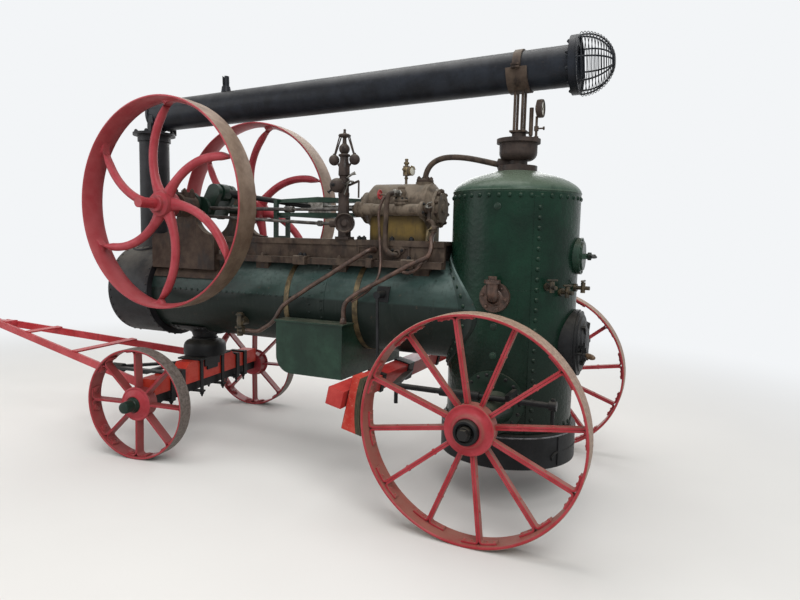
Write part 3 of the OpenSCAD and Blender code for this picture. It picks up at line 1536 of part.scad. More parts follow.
// Dished smokebox door with its strap hinges on the right
module smokebox_door() {
    dish_h = 38;
    face = smoke_front + seat;
    color(black) world() difference() {
        union() {
            along_x(smoke_door_r, face, face + 14, 0, barrel_z);
            translate([face + 13, 0, barrel_z]) rotate([0, 90, 0]) dish(smoke_door_r - 22, dish_h);
            for (z = [barrel_z - smoke_knuckle_z, barrel_z + smoke_knuckle_z]) {
                block(face + 6, face + 30, -smoke_hinge_y, 40, z - knuckle_half, z + knuckle_half);
                along_z(knuckle_r, z - knuckle_half, z + knuckle_half, smoke_pin_x, -smoke_hinge_y);
            }
            along_x(20, face + 30, face + 74, 0, barrel_z);
            along_z(9, barrel_z - 95, barrel_z, face + 68, 0);
        }
        along_z(smoke_pin_r + run_fit, barrel_z - 200, barrel_z + 200, smoke_pin_x, -smoke_hinge_y);
    }
}

firebox_shell();
firebox_crown();
fire_door_frame();
ash_pan();
grate();
rear_axle_brackets();
barrel_throat();
barrel();
barrel_bands();
smokebox();
chimney_base();
manhole_cover();
safety_valve();
chimney_crutch();
pressure_gauge();
bed_casting();
crank_pedestals();
engine_cylinder();
cylinder_jacket();
valve_chest();
slide_bars();
crosshead();
connecting_rod();
valve_gear();
feed_pump();
governor_column();
steam_pipe();
feed_tank();
feed_pipes();
check_valve();
mud_hole_elbow();
try_cocks();
brake_beam();
brake_shoes();
brake_gear();
king_post();
turntable();
front_axle();
axle_beam();
hounds();
drawbar_arms();
drawbar_cross_bars();
tow_eye();
front_wheel_left();
front_wheel_right();
rear_wheel_left();
rear_wheel_right();
crankshaft();
flywheel_left();
flywheel_right();
chimney_tube();
chimney_fittings();
chimney_strap();
spark_cage();
governor_head();
fire_door();
smokebox_door();
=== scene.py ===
"""Looks of a portable steam engine, folded for the road, over its CAD frame.

Places are metres ahead of the rear axle, left of the centre plane and above
the ground; at() turns them into the row frame. Profiles are (radius, height).
"""

import math

import bpy
from mathutils import Matrix, Vector


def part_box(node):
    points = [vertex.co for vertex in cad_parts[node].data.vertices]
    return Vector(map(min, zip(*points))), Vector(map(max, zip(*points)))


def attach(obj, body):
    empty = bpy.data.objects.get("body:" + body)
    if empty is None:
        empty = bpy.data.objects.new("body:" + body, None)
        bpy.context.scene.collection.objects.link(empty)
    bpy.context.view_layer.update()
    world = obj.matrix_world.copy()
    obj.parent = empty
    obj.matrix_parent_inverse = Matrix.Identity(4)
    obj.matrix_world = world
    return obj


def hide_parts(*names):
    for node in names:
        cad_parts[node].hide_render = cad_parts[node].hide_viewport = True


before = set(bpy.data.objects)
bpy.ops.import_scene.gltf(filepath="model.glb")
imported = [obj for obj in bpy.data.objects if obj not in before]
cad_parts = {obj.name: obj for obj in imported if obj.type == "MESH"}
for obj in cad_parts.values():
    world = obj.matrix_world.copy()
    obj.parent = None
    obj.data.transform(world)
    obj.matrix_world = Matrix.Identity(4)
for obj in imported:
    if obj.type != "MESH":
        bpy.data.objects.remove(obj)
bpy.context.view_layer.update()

TAU = 2 * math.pi
UP = Vector((0, 0, 1))
AHEAD, BACK, LEFT = (1, 0, 0), (-1, 0, 0), (0, 1, 0)

# Where the rear axle stands in the row frame
AXLE_X = (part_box("rear_wheel_left")[0][0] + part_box("rear_wheel_left")[1][0]) / 2

# The real sizes that the scene's pieces share with the CAD source
SHELL_X, SHELL_R, SHELL_SEAM = 0.030, 0.397, 1.895
BARREL_Z, BARREL_R = 1.135, 0.322
SMOKE_R, SMOKE_BACK, SMOKE_FRONT = 0.365, 2.838, 3.270
STUB_X, STUB_TOP = 3.120, 2.420
HINGE_X, HINGE_Z, FOLD = 3.030, 2.470, math.radians(88.35)
CRANK_X, CRANK_Z, FLY_R, FLY_Y, FLY_W = 2.473, 1.808, 0.756, 0.532, 0.180
CYLINDER_BACK, CYLINDER_FRONT, CYLINDER_Z = 0.540, 1.065, 1.805
STEAM_X, STEAM_SEAT = 0.660, 1.978
BED_TOP, BED_HALF, BED_FOOT = 1.585, 0.250, 1.454
FIRE_DOOR_Z, MANHOLE_Z, MUD_HOLE_Z, ASH_PAN_R = 0.980, 1.517, 1.270, 0.4305
REAR_R, REAR_RIM_Y = 0.615, 0.890
FRONT_R, FRONT_Y, KING_X = 0.394, 0.788, 2.592
BRAKE_X, BRAKE_Z, BRAKE_LEAN = 0.762, 0.706, math.radians(12.5)

# The stand of the steering and how far each rear wheel has rolled
STEER, REAR_TURN = math.radians(7.4), math.radians(8.2)
BACKDROP = "#f3f5f7"


def at(x, y, z):
    """A place given from the rear axle, in the row frame."""
    return Vector((x + AXLE_X, y, z))


def steered(s, o, z):
    """A place s ahead of the king pin and o to its left, as the steering stands."""
    x = s * math.cos(STEER) - o * math.sin(STEER)
    y = s * math.sin(STEER) + o * math.cos(STEER)
    return at(KING_X + x, y, z)


CHIMNEY_WAY = Vector((-math.sin(FOLD), 0, math.cos(FOLD)))


def on_chimney(x):
    """The place on the folded chimney's axis that is x ahead of the rear axle."""
    over = Vector((math.cos(FOLD), 0, math.sin(FOLD)))
    foot = at(HINGE_X, 0, HINGE_Z) + over * (STUB_X - HINGE_X)
    return foot + CHIMNEY_WAY * ((x - HINGE_X) / CHIMNEY_WAY.x)


# Materials

SMOOTH = {"interpolation_type": "SMOOTHSTEP"}
# Range over which worn_edges() runs from a flat face to a sharp edge
EDGE = (0.97, 0.80)


def linear(code):
    """An sRGB hex colour as a linear RGBA."""
    parts = [int(code[i : i + 2], 16) / 255 for i in (1, 3, 5)]
    return (*[c / 12.92 if c <= 0.04045 else ((c + 0.055) / 1.055) ** 2.4 for c in parts], 1)


def add(tree, kind, settings=None, inputs=None):
    """Adds a shader node with its settings and its inputs, which are values or other nodes' outputs."""
    node = tree.nodes.new("ShaderNode" + kind)
    for name, value in (settings or {}).items():
        setattr(node, name, value)
    for name, value in (inputs or {}).items():
        socket = node.inputs[name]
        if isinstance(value, bpy.types.NodeSocket):
            tree.links.new(value, socket)
        else:
            socket.default_value = value
    return node.outputs


def span(value, low, high, least=0.0, most=1.0):
    """Inputs that map a value between low and high onto least to most."""
    return {"Value": value, "From Min": low, "From Max": high, "To Min": least, "To Max": most}


def blank(name):
    """An empty material with its output and a principled shader."""
    made = bpy.data.materials.new(name)
    made.use_nodes = True
    tree = made.node_tree
    tree.nodes.clear()
    output = tree.nodes.new("ShaderNodeOutputMaterial")
    shader = tree.nodes.new("ShaderNodeBsdfPrincipled")
    tree.links.new(shader.outputs["BSDF"], output.inputs["Surface"])
    made.diffuse_color = (0.5, 0.5, 0.5, 1)
    return made, tree, shader


def speckle(tree, size, detail=3.0, stretch=(1, 1, 1), rough=0.55, shift=0.0):
    """Noise whose patches measure about size metres, longer by stretch along each axis."""
    place = add(tree, "TexCoord")["Object"]
    scale = tuple(1 / (size * s) for s in stretch)
    moved = add(tree, "Mapping", None, {"Vector": place, "Scale": scale, "Location": (shift, shift, shift)})["Vector"]
    inputs = {"Vector": moved, "Scale": 1.0, "Detail": detail, "Roughness": rough}
    return add(tree, "TexNoise", None, inputs)["Fac"]


def coat(tree, under, over, value, low=None, high=1.0, share=1.0):
    """Lays one colour over another where a value rises from low to high, at most by a share.

    Colours are hex codes or nodes' outputs. Without low, the value is a mask already.
    """
    under, over = (linear(tone) if isinstance(tone, str) else tone for tone in (under, over))
    curve, start = ({}, 0.0) if low is None else (SMOOTH, low)
    mask = add(tree, "MapRange", curve, span(value, start, high, 0.0, share))["Result"]
    return add(tree, "Mix", {"data_type": "RGBA"}, {0: mask, 6: under, 7: over})[2]


def upward(tree):
    """How far a face looks up to the sky, where dust lies."""
    return add(tree, "SeparateXYZ", None, {0: add(tree, "NewGeometry")["Normal"]})["Z"]


def place_along(tree, axis):
    """The X, Y or Z place on the object at rest."""
    return add(tree, "SeparateXYZ", None, {0: add(tree, "TexCoord")["Object"]})[axis]


def worn_edges(tree, radius=0.0035):
    """1 on flat faces and less at sharp edges, where a coat wears through first: see EDGE."""
    round_normal = add(tree, "Bevel", {"samples": 4}, {"Radius": radius})["Normal"]
    normal = add(tree, "NewGeometry")["Normal"]
    return add(tree, "VectorMath", {"operation": "DOT_PRODUCT"}, {0: round_normal, 1: normal})["Value"]


def relief(tree, shader, depth, waves, fine=None, fine_share=0.0, edge=0.002):
    """Bumps of that depth in metres, from slow waves and a share of fine grain, on slightly rounded edges."""
    height = waves
    if fine is not None:
        height = add(tree, "Math", {"operation": "MULTIPLY_ADD"}, {0: fine, 1: fine_share, 2: waves})[0]
    inputs = {"Height": height, "Distance": depth, "Strength": 1.0}
    if edge:
        inputs["Normal"] = add(tree, "Bevel", {"samples": 4}, {"Radius": edge})["Normal"]
    tree.links.new(add(tree, "Bump", None, inputs)["Normal"], shader.inputs["Normal"])


def join(tree, shader, colour, roughness, metallic=0.0, ior=1.5, varnish=0.0, specular=0.16):
    """Colour and roughness, a span or an output, to the shader, with its plain values on its own sockets.

    Without ior it is a metal's, which keeps the defaults.
    """
    if isinstance(roughness, dict):
        roughness = add(tree, "MapRange", SMOOTH, roughness)["Result"]
    tree.links.new(colour, shader.inputs["Base Color"])
    tree.links.new(roughness, shader.inputs["Roughness"])
    shader.inputs["Metallic"].default_value = metallic
    if ior:
        shader.inputs["IOR"].default_value = ior
        shader.inputs["Specular IOR Level"].default_value = specular
    shader.inputs["Coat Weight"].default_value = varnish
    shader.inputs["Coat Roughness"].default_value = 0.25


def enamel(name, paint, faded, grime, chip, gloss=0.38, wear=0.5, dust=0.0, ends=None):
    """Oil enamel brushed on iron by hand: slow waves from the brush and the plate, faded patches,
    dirt that runs down it, bare dark iron where the edges are knocked, and dust on top.
    Ends gives another colour, and how far from the centre plane it starts."""
    made, tree, shader = blank(name)
    patches = speckle(tree, 0.22, 4, rough=0.6)
    colour = coat(tree, paint, faded, patches, 0.35, 0.72)
    if ends:
        start, end_paint = ends
        out = add(tree, "Math", {"operation": "ABSOLUTE"}, {0: place_along(tree, "Y")})[0]
        colour = coat(tree, colour, end_paint, out, start - 0.001, start + 0.001)
    fine = speckle(tree, 0.018, 5, rough=0.7, shift=3.1)
    colour = coat(tree, colour, grime, fine, 0.5, 0.75, 0.45)
    runs = speckle(tree, 0.03, 4, stretch=(1, 1, 9), rough=0.65, shift=7.7)
    colour = coat(tree, colour, grime, runs, 0.52, 0.74, 0.35)
    if dust:
        lying = add(tree, "MapRange", SMOOTH, span(speckle(tree, 0.07, 5, shift=1.3), 0.2, 0.7, 0, dust))["Result"]
        colour = coat(tree, colour, "#8a8272", upward(tree), 0.35, 0.95, lying)
    flaking = speckle(tree, 0.012, 6, rough=0.75, shift=5.5)
    flakes = add(tree, "MapRange", SMOOTH, span(flaking, 0.66 - 0.05 * wear, 0.70))["Result"]
    knocks = add(tree, "MapRange", SMOOTH, span(fine, 0.40, 0.58, 0, wear))["Result"]
    edges = add(tree, "MapRange", SMOOTH, span(worn_edges(tree), *EDGE, 0, knocks))["Result"]
    bare = add(tree, "Math", {"operation": "ADD"}, {0: edges, 1: flakes})[0]
    colour = coat(tree, colour, chip, bare, share=0.85)
    join(tree, shader, colour, span(fine, 0.25, 0.8, gloss - 0.08, gloss + 0.22), varnish=0.15)
    relief(tree, shader, 0.0006, speckle(tree, 0.05, 2, shift=9.0), fine, 0.12)
    return made


def firebox_enamel():
    """Green enamel over hammered boiler plate: deep and glossy on the shell, paler with dust on the dome,
    and darker toward the ash pan, by height."""
    made, tree, shader = blank("firebox_brushed_enamel")
    patches = speckle(tree, 0.30, 4, rough=0.62)
    shell = coat(tree, "#0c2118", "#143325", patches, 0.3, 0.75)
    dome = coat(tree, "#2d4236", "#435548", patches, 0.3, 0.7)
    height = place_along(tree, "Z")
    colour = coat(tree, shell, dome, height, SHELL_SEAM - 0.015, SHELL_SEAM + 0.005)
    fine = speckle(tree, 0.014, 5, rough=0.7, shift=2.0)
    colour = coat(tree, colour, "#0c1813", fine, 0.55, 0.8, 0.5)
    runs = speckle(tree, 0.035, 4, stretch=(1, 1, 10), rough=0.65, shift=4.0)
    colour = coat(tree, colour, "#0e1a14", runs, 0.5, 0.75, 0.4)
    colour = coat(tree, colour, "#6d7464", upward(tree), 0.3, 1.0, 0.45)
    # darker toward the bottom, by height, down to the ash pan
    darker_below = add(tree, "MapRange", SMOOTH, span(patches, 0.15, 0.55, 0.375, 0.75))["Result"]
    colour = coat(tree, colour, "#131613", height, 1.30, 0.60, darker_below)
    join(tree, shader, colour, span(fine, 0.3, 0.8, 0.22, 0.44), varnish=0.06, specular=0.12)
    relief(tree, shader, 0.0034, speckle(tree, 0.030, 3, rough=0.5, shift=8.0), fine, 0.10, 0.004)
    return made


def barrel_enamel():
    """Green enamel faded to grey-green: lighter toward the top as a painted sky reflection, darker below and nearly
    black underneath as painted shade.
    """
    made, tree, shader = blank("barrel_faded_enamel_painted_light_and_shade")
    patches = speckle(tree, 0.16, 5, stretch=(2, 1, 1), rough=0.65)
    # upper is the faded paint with a painted sky reflection; lower is the same paint in painted shade
    upper = coat(tree, "#3b504c", "#65736f", patches, 0.32, 0.7)
    lower = coat(tree, "#1f2e2a", "#31433e", patches, 0.35, 0.7)
    height = place_along(tree, "Z")
    # painted light and shade: lighter above the barrel's middle, darker below it
    colour = coat(tree, lower, upper, height, 1.20, 1.38)
    # painted shade: nearly black under the barrel
    colour = coat(tree, colour, "#131d19", height, 1.186, 1.168)
    runs = speckle(tree, 0.024, 4, stretch=(1, 1, 11), rough=0.7, shift=4.0)
    colour = coat(tree, colour, "#232b27", runs, 0.5, 0.72, 0.55)
    fine = speckle(tree, 0.012, 5, rough=0.7, shift=2.0)
    rust = speckle(tree, 0.05, 6, rough=0.72, shift=6.0)
    colour = coat(tree, colour, "#5a4536", rust, 0.62, 0.72, 0.55)
    join(tree, shader, colour, span(fine, 0.25, 0.8, 0.34, 0.62), varnish=0.1)
    relief(tree, shader, 0.0016, speckle(tree, 0.07, 3, rough=0.5, shift=8.0), fine, 0.1, 0.003)
    return made


def stove_black(name, base, worn, dust, gloss):
    """Heat-proof black brushed on plate: dull, with a brown bloom and dust where it faces up."""
    made, tree, shader = blank(name)
    patches = speckle(tree, 0.15, 5, rough=0.65)
    colour = coat(tree, base, worn, patches, 0.35, 0.7)
    fine = speckle(tree, 0.010, 5, rough=0.7, shift=2.5)
    colour = coat(tree, colour, "#4a4038", fine, 0.56, 0.78, 0.4)
    lying = add(tree, "MapRange", SMOOTH, span(patches, 0.25, 0.65, 0, dust))["Result"]
    colour = coat(tree, colour, "#6a6458", upward(tree), 0.1, 1.0, lying)
    join(tree, shader, colour, span(fine, 0.2, 0.8, gloss, gloss + 0.25))
    relief(tree, shader, 0.0010, patches, fine, 0.25, 0.0025)
    return made


def oily_casting(name, base, light, oil, gloss=0.5):
    """Sand-cast iron with thin old paint: grit of the mould, rust bloom and dark, shinier oil stains."""
    made, tree, shader = blank(name)
    patches = speckle(tree, 0.09, 5, rough=0.66)
    colour = coat(tree, base, light, patches, 0.32, 0.7)
    spread = speckle(tree, 0.06, 5, stretch=(1, 1, 2.5), rough=0.6, shift=5.0)
    stains = add(tree, "MapRange", SMOOTH, span(spread, 0.48, 0.66))["Result"]
    colour = coat(tree, colour, oil, stains, share=0.75)
    rust = speckle(tree, 0.025, 6, rough=0.75, shift=1.0)
    colour = coat(tree, colour, "#6a4a34", rust, 0.58, 0.72, 0.5)
    colour = coat(tree, colour, "#7d7466", upward(tree), 0.4, 1.0, 0.4)
    join(tree, shader, colour, span(stains, 0.0, 1.0, gloss + 0.15, gloss - 0.12))
    # the mould's sand is finer than this: 4 mm is the finest grit that shows at the render's size
    relief(tree, shader, 0.0012, patches, speckle(tree, 0.004, 3, rough=0.6, shift=3.0), 0.35, 0.003)
    return made


def jacket_paint():
    """Ochre paint on the cylinder's jacket, run over by oil, with a painted shadow that darkens it under the cylinder,
    and darker at its foot.
    """
    made, tree, shader = blank("jacket_oil_stains_and_painted_shadow")
    patches = speckle(tree, 0.10, 5, rough=0.6)
    colour = coat(tree, "#7a6537", "#5f5034", patches, 0.3, 0.7)
    runs = speckle(tree, 0.022, 4, stretch=(1, 1, 8), rough=0.7, shift=3.0)
    colour = coat(tree, colour, "#4d4432", runs, 0.48, 0.70, 0.7)
    height = place_along(tree, "Z")
    # painted shadow: darker across the jacket's upper part, under the cylinder
    colour = coat(tree, colour, "#40372a", height, 1.66, 1.76, 0.6)
    colour = coat(tree, colour, "#3d352b", height, 1.63, BED_TOP, 0.7)
    fine = speckle(tree, 0.006, 4, rough=0.6, shift=2.0)
    join(tree, shader, colour, span(fine, 0.2, 0.8, 0.40, 0.62))
    relief(tree, shader, 0.0004, fine, edge=0.003)
    return made


def dull_metal(name, bright, dark, metallic, gloss):
    """Drawn or rolled metal that has dulled in the open: darker skin with brighter rubbed places."""
    made, tree, shader = blank(name)
    colour = coat(tree, dark, bright, speckle(tree, 0.045, 5, rough=0.65), 0.35, 0.68)
    fine = speckle(tree, 0.006, 5, rough=0.7, shift=2.0)
    colour = coat(tree, colour, dark, fine, 0.55, 0.75, 0.5)
    colour = coat(tree, colour, bright, worn_edges(tree, 0.002), *EDGE, 0.6)
    join(tree, shader, colour, span(fine, 0.2, 0.8, gloss - 0.08, gloss + 0.16), metallic, ior=None)
    relief(tree, shader, 0.0003, fine, edge=0.0015)
    return made


def radius_from(tree, centre, axle):
    """Distance from an axle line through a point, and the place along that line."""
    place = add(tree, "TexCoord")["Object"]
    from_centre = add(tree, "VectorMath", {"operation": "SUBTRACT"}, {0: place, 1: tuple(centre)})[0]
    along = add(tree, "VectorMath", {"operation": "DOT_PRODUCT"}, {0: from_centre, 1: tuple(axle)})["Value"]
    on_axle = add(tree, "VectorMath", {"operation": "SCALE"}, {0: tuple(axle), "Scale": along})[0]
    out = add(tree, "VectorMath", {"operation": "SUBTRACT"}, {0: from_centre, 1: on_axle})[0]
    return add(tree, "VectorMath", {"operation": "LENGTH"}, {0: out})["Value"], along


def wheel_enamel(name, paint, faded, tread, tread_dark, centre, axle, tread_r, hub_r, tread_share, mud, mud_share):
    """Red enamel on rolled iron, bright on the outward edges; dried mud dulls what faces sideways, the road
    has worn the tread to bare metal, and grease darkens the hub."""
    made, tree, shader = blank(name)
    patches = speckle(tree, 0.10, 5, rough=0.6)
    colour = coat(tree, paint, faded, patches, 0.3, 0.72)
    fine = speckle(tree, 0.009, 5, rough=0.72, shift=2.0)
    colour = coat(tree, colour, "#5a2426", fine, 0.54, 0.76, 0.4)
    bare = add(tree, "MapRange", SMOOTH, span(fine, 0.42, 0.6, 0, 0.55))["Result"]
    colour = coat(tree, colour, "#4b3a35", worn_edges(tree, 0.003), *EDGE, bare)
    out, _ = radius_from(tree, centre, axle)
    faces = {0: add(tree, "TexCoord")["Normal"], 1: tuple(axle)}
    outward = add(tree, "VectorMath", {"operation": "DOT_PRODUCT"}, faces)["Value"]
    outward = add(tree, "Math", {"operation": "ABSOLUTE"}, {0: outward})[0]
    muddy = add(tree, "MapRange", SMOOTH, span(patches, 0.25, 0.6, 0.45 * mud_share, mud_share))["Result"]
    colour = coat(tree, colour, mud, outward, 0.80, 0.40, muddy)
    greasy = add(tree, "MapRange", SMOOTH, span(patches, 0.4, 0.6, 0, 0.5))["Result"]
    colour = coat(tree, colour, "#3a2422", out, hub_r * 1.5, hub_r * 0.7, greasy)
    road = coat(tree, tread, tread_dark, speckle(tree, 0.02, 5, rough=0.7, shift=6.0), 0.35, 0.65)
    on_tread = add(tree, "MapRange", SMOOTH, span(out, tread_r - 0.0015, tread_r, 0, tread_share))["Result"]
    colour = coat(tree, colour, road, on_tread)
    dull = add(tree, "MapRange", SMOOTH, span(fine, 0.2, 0.8, 0.36, 0.58))["Result"]
    roughness = add(tree, "Math", {"operation": "MULTIPLY_ADD"}, {0: on_tread, 1: 0.15, 2: dull})[0]
    join(tree, shader, colour, roughness, varnish=0.1)
    relief(tree, shader, 0.0007, speckle(tree, 0.03, 3, shift=9.0), fine, 0.3, 0.003)
    return made


def rubbed_tread(name, centre):
    """The flywheel's turned tread, bare iron that belts have polished: fine rings, tan rust between them."""
    made, tree, shader = blank(name)
    _, along = radius_from(tree, centre, LEFT)
    # turning marks about 1 mm apart
    rings = add(tree, "TexNoise", {"noise_dimensions": "1D"}, {"W": along, "Scale": 900.0, "Detail": 4.0})["Fac"]
    colour = coat(tree, "#6d5848", "#8b7664", speckle(tree, 0.10, 5, rough=0.65), 0.3, 0.7)
    colour = coat(tree, colour, "#5d4c3d", rings, 0.45, 0.7, 0.45)
    join(tree, shader, colour, span(rings, 0.3, 0.7, 0.42, 0.62), 0.35, ior=None)
    relief(tree, shader, 0.0002, rings, edge=0.003)
    return made


def painted_timber(name, paint, faded, wood, grain_axis):
    """Gloss paint on a timber: raised grain along one axis, chips to grey wood at the corners."""
    made, tree, shader = blank(name)
    stretch = [1, 1, 1]
    stretch[grain_axis] = 14
    grain = speckle(tree, 0.006, 4, stretch=tuple(stretch), rough=0.6)
    patches = speckle(tree, 0.12, 5, rough=0.6, shift=2.0)
    colour = coat(tree, paint, faded, patches, 0.3, 0.7)
    colour = coat(tree, colour, "#5c1a16", grain, 0.55, 0.75, 0.3)
    chipped = add(tree, "MapRange", SMOOTH, span(patches, 0.42, 0.6, 0, 0.8))["Result"]
    colour = coat(tree, colour, wood, worn_edges(tree, 0.004), *EDGE, chipped)
    join(tree, shader, colour, span(grain, 0.2, 0.8, 0.32, 0.5), varnish=0.15)
    relief(tree, shader, 0.0006, grain, edge=0.003)
    return made


def brake_block():
    """Red-painted elm block: its worn lining is olive-brown end grain, and the strip behind it is black iron."""
    made, tree, shader = blank("brake_block_painted_elm")
    grain = speckle(tree, 0.005, 4, stretch=(1, 1, 10), rough=0.6)
    paint = coat(tree, "#a8291f", "#b3463b", speckle(tree, 0.05, 5, rough=0.62, shift=2.0), 0.3, 0.7)
    paint = coat(tree, paint, "#c9a58f", speckle(tree, 0.012, 5, rough=0.7, shift=4.0), 0.60, 0.68, 0.55)
    out, _ = radius_from(tree, REAR_CENTRE, LEFT)
    lining = coat(tree, "#4a4633", "#2e2d25", grain, 0.35, 0.65)
    colour = coat(tree, paint, lining, out, REAR_R + 0.043, REAR_R + 0.039)
    tilt = (math.cos(BRAKE_LEAN), 0, math.sin(BRAKE_LEAN))
    back = -0.0626 + tilt[0] * (AXLE_X + BRAKE_X) + tilt[2] * BRAKE_Z
    lean = {0: add(tree, "TexCoord")["Object"], 1: tilt}
    away = add(tree, "VectorMath", {"operation": "DOT_PRODUCT"}, lean)["Value"]
    colour = coat(tree, colour, "#202123", away, back - 0.001, back + 0.001)
    join(tree, shader, colour, span(grain, 0.2, 0.8, 0.42, 0.62))
    relief(tree, shader, 0.0006, grain, edge=0.003)
    return made


def gauge_enamel():
    """White enamelled dial of a gauge, a little yellow with age."""
    made, tree, shader = blank("gauge_enamelled_dial")
    patches = speckle(tree, 0.01, 4)
    colour = coat(tree, "#d9d6c8", "#c4bfae", patches, 0.3, 0.7)
    join(tree, shader, colour, span(patches, 0.2, 0.8, 0.2, 0.35), varnish=0.6)
    relief(tree, shader, 0.0001, patches, edge=0)
    return made


REAR_CENTRE = at(0, 0, REAR_R)
FRONT_CENTRE = steered(0, 0, FRONT_R)
FRONT_AXLE = Vector((-math.sin(STEER), math.cos(STEER), 0))
CRANK_CENTRE = at(CRANK_X, 0, CRANK_Z)
CRANK_GREENS = ("#15271f", "#20362b", "#121a16", "#2f2f2a", 0.34, 0.5)

# Finish: its material and the slot that the table gives it
FINISH = {
    "firebox": (firebox_enamel(), "boiler_green"),
    "barrel": (barrel_enamel(), "barrel_paint"),
    "green": (enamel("fittings_green_enamel", "#182b22", "#263f32", "#10160f", "#34342c", 0.34, 0.6, 0.3),
              "boiler_green"),
    "crank_green": (enamel("hub_cap_green_enamel", *CRANK_GREENS), "black_iron"),
    "crank": (enamel("crankshaft_painted_iron", *CRANK_GREENS, ends=(0.40, "#9c343a")), "black_iron"),
    "axle_green": (enamel("axle_plate_green_enamel", "#14241c", "#20352a", "#10160f", "#2a2b26", 0.36, 0.5, 0.25,
                          ends=(0.60, "#1c1b1b")), "boiler_green"),
    "rod": (dull_metal("rods_oiled_iron", "#5f5b56", "#2b2826", 0.6, 0.34), "bright_steel"),
    "smokebox": (stove_black("smokebox_stove_black", "#1b1b1d", "#2b2b2e", 0.5, 0.36), "black_iron"),
    "chimney": (stove_black("chimney_bitumen_black", "#14161b", "#22262d", 0.22, 0.26), "black_iron"),
    "black": (stove_black("fittings_black_iron", "#141516", "#222325", 0.26, 0.34), "black_iron"),
    "brown": (oily_casting("engine_oily_cast_iron", "#3b302a", "#54483e", "#211b18"), "brown_casting"),
    "dark_brown": (oily_casting("mountings_dark_cast_iron", "#332b28", "#463c37", "#1d1816", 0.42), "brown_casting"),
    "grey_brown": (oily_casting("cylinder_dusty_cast_iron", "#5a4f44", "#7b6f61", "#3a322b", 0.52), "brown_casting"),
    "ochre": (jacket_paint(), "ochre_jacket"),
    "bronze": (dull_metal("cocks_blackened_bronze", "#554935", "#25241f", 0.4, 0.42), "aged_brass"),
    "brass": (dull_metal("bands_weathered_brass", "#78684a", "#473d2b", 0.45, 0.44), "aged_brass"),
    "copper": (dull_metal("pipes_drawn_copper_brown", "#5e473c", "#382b25", 0.35, 0.40), "aged_copper"),
    "steel": (dull_metal("rods_turned_steel", "#8f8c86", "#55524c", 0.85, 0.32), "bright_steel"),
    "worn_iron": (dull_metal("lip_pale_iron", "#77777a", "#3c3a38", 0.5, 0.40), "black_iron"),
    "rear_red": (
        wheel_enamel("rear_wheel_red_enamel", "#9c2c33", "#aa4048", "#a8937f", "#7d6b5c", REAR_CENTRE,
                     LEFT, REAR_R - 0.002, 0.08, 0.85, "#96695b", 0.85), "crimson_paint"),
    "front_red": (
        wheel_enamel("front_wheel_red_enamel", "#982d34", "#a6424a", "#77716a", "#55504b", FRONT_CENTRE,
                     FRONT_AXLE, FRONT_R - 0.002, 0.06, 0.95, "#7d4f48", 0.6), "crimson_paint"),
    "fly_red": (
        wheel_enamel("flywheel_red_enamel", "#98323a", "#ab454d", "#8a7663", "#6b5a4a", CRANK_CENTRE,
                     LEFT, FLY_R + 0.1, 0.08, 0.0, "#8c4a47", 0.45), "crimson_paint"),
    "fly_tread": (rubbed_tread("flywheel_belt_polished_iron", CRANK_CENTRE), "crimson_paint"),
    "bar_red": (enamel("drawbar_red_enamel", "#a82b30", "#b8454a", "#4c2020", "#3d332f", 0.34, 0.7, 0.2),
                "crimson_paint"),
    "beam_red": (painted_timber("axle_beam_red_gloss_timber", "#b3271a", "#bf3f2e", "#5d5348", 1), "beam_paint"),
    "brake_red": (painted_timber("brake_beam_red_timber", "#a02a28", "#b8423c", "#574b42", 1), "brake_wood"),
    "shoe": (brake_block(), "brake_wood"),
    "dial": (gauge_enamel(), "aged_brass"),
    "grip": (painted_timber("fire_door_grip_turned_ash", "#7a6550", "#5c4a3a", "#8d7a62", 1), "brake_wood"),
}

NODE_FINISH = {
    "firebox": ["firebox_shell", "firebox_crown"],
    "barrel": ["barrel", "barrel_throat"],
    "green": ["manhole_cover", "slide_bars", "feed_tank"],
    "smokebox": ["smokebox", "smokebox_door", "chimney_base"],
    "chimney": ["chimney_tube", "chimney_fittings", "spark_cage"],
    "black": ["ash_pan", "grate", "king_post", "turntable", "front_axle", "hounds", "fire_door",
              "fire_door_frame", "connecting_rod", "brake_gear"],
    "crank": ["crankshaft"],
    "axle_green": ["rear_axle_brackets"],
    "brown": ["bed_casting", "crank_pedestals", "chimney_crutch", "chimney_strap", "steam_pipe", "pressure_gauge"],
    "dark_brown": ["feed_pump", "governor_column", "governor_head", "safety_valve"],
    "grey_brown": ["engine_cylinder", "valve_chest"],
    "ochre": ["cylinder_jacket"],
    "brass": ["barrel_bands"],
    "bronze": ["check_valve", "try_cocks"],
    "copper": ["feed_pipes", "mud_hole_elbow"],
    "steel": ["crosshead"],
    "rod": ["valve_gear"],
    "rear_red": ["rear_wheel_left", "rear_wheel_right"],
    "front_red": ["front_wheel_left", "front_wheel_right"],
    "fly_red": ["flywheel_left", "flywheel_right"],
    "bar_red": ["drawbar_arms", "drawbar_cross_bars", "tow_eye"],
    "beam_red": ["axle_beam"],
    "brake_red": ["brake_beam"],
    "shoe": ["brake_shoes"],
}


def finish_nodes():
    """Gives every CAD node its finish."""
    for finish, nodes in NODE_FINISH.items():
        for node in nodes:
            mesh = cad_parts[node].data
            mesh.materials.clear()
            mesh.materials.append(FINISH[finish][0])


# Mesh tools: a shape is (points, faces)


def turned(profile, steps=24, start=0.0, sweep=TAU):
    """A profile of (radius, height) turned round Z."""
    closed = abs(sweep - TAU) < 1e-9
    columns = steps if closed else steps + 1
    points = []
    for k in range(columns):
        angle = start + sweep * k / steps
        points += [(r * math.cos(angle), r * math.sin(angle), h) for r, h in profile]
    size = len(profile)
    faces = []
    for k in range(steps):
        first, second = k * size, ((k + 1) % columns) * size
        faces += [(first + i, second + i, second + i + 1, first + i + 1) for i in range(size - 1)]
    return points, faces


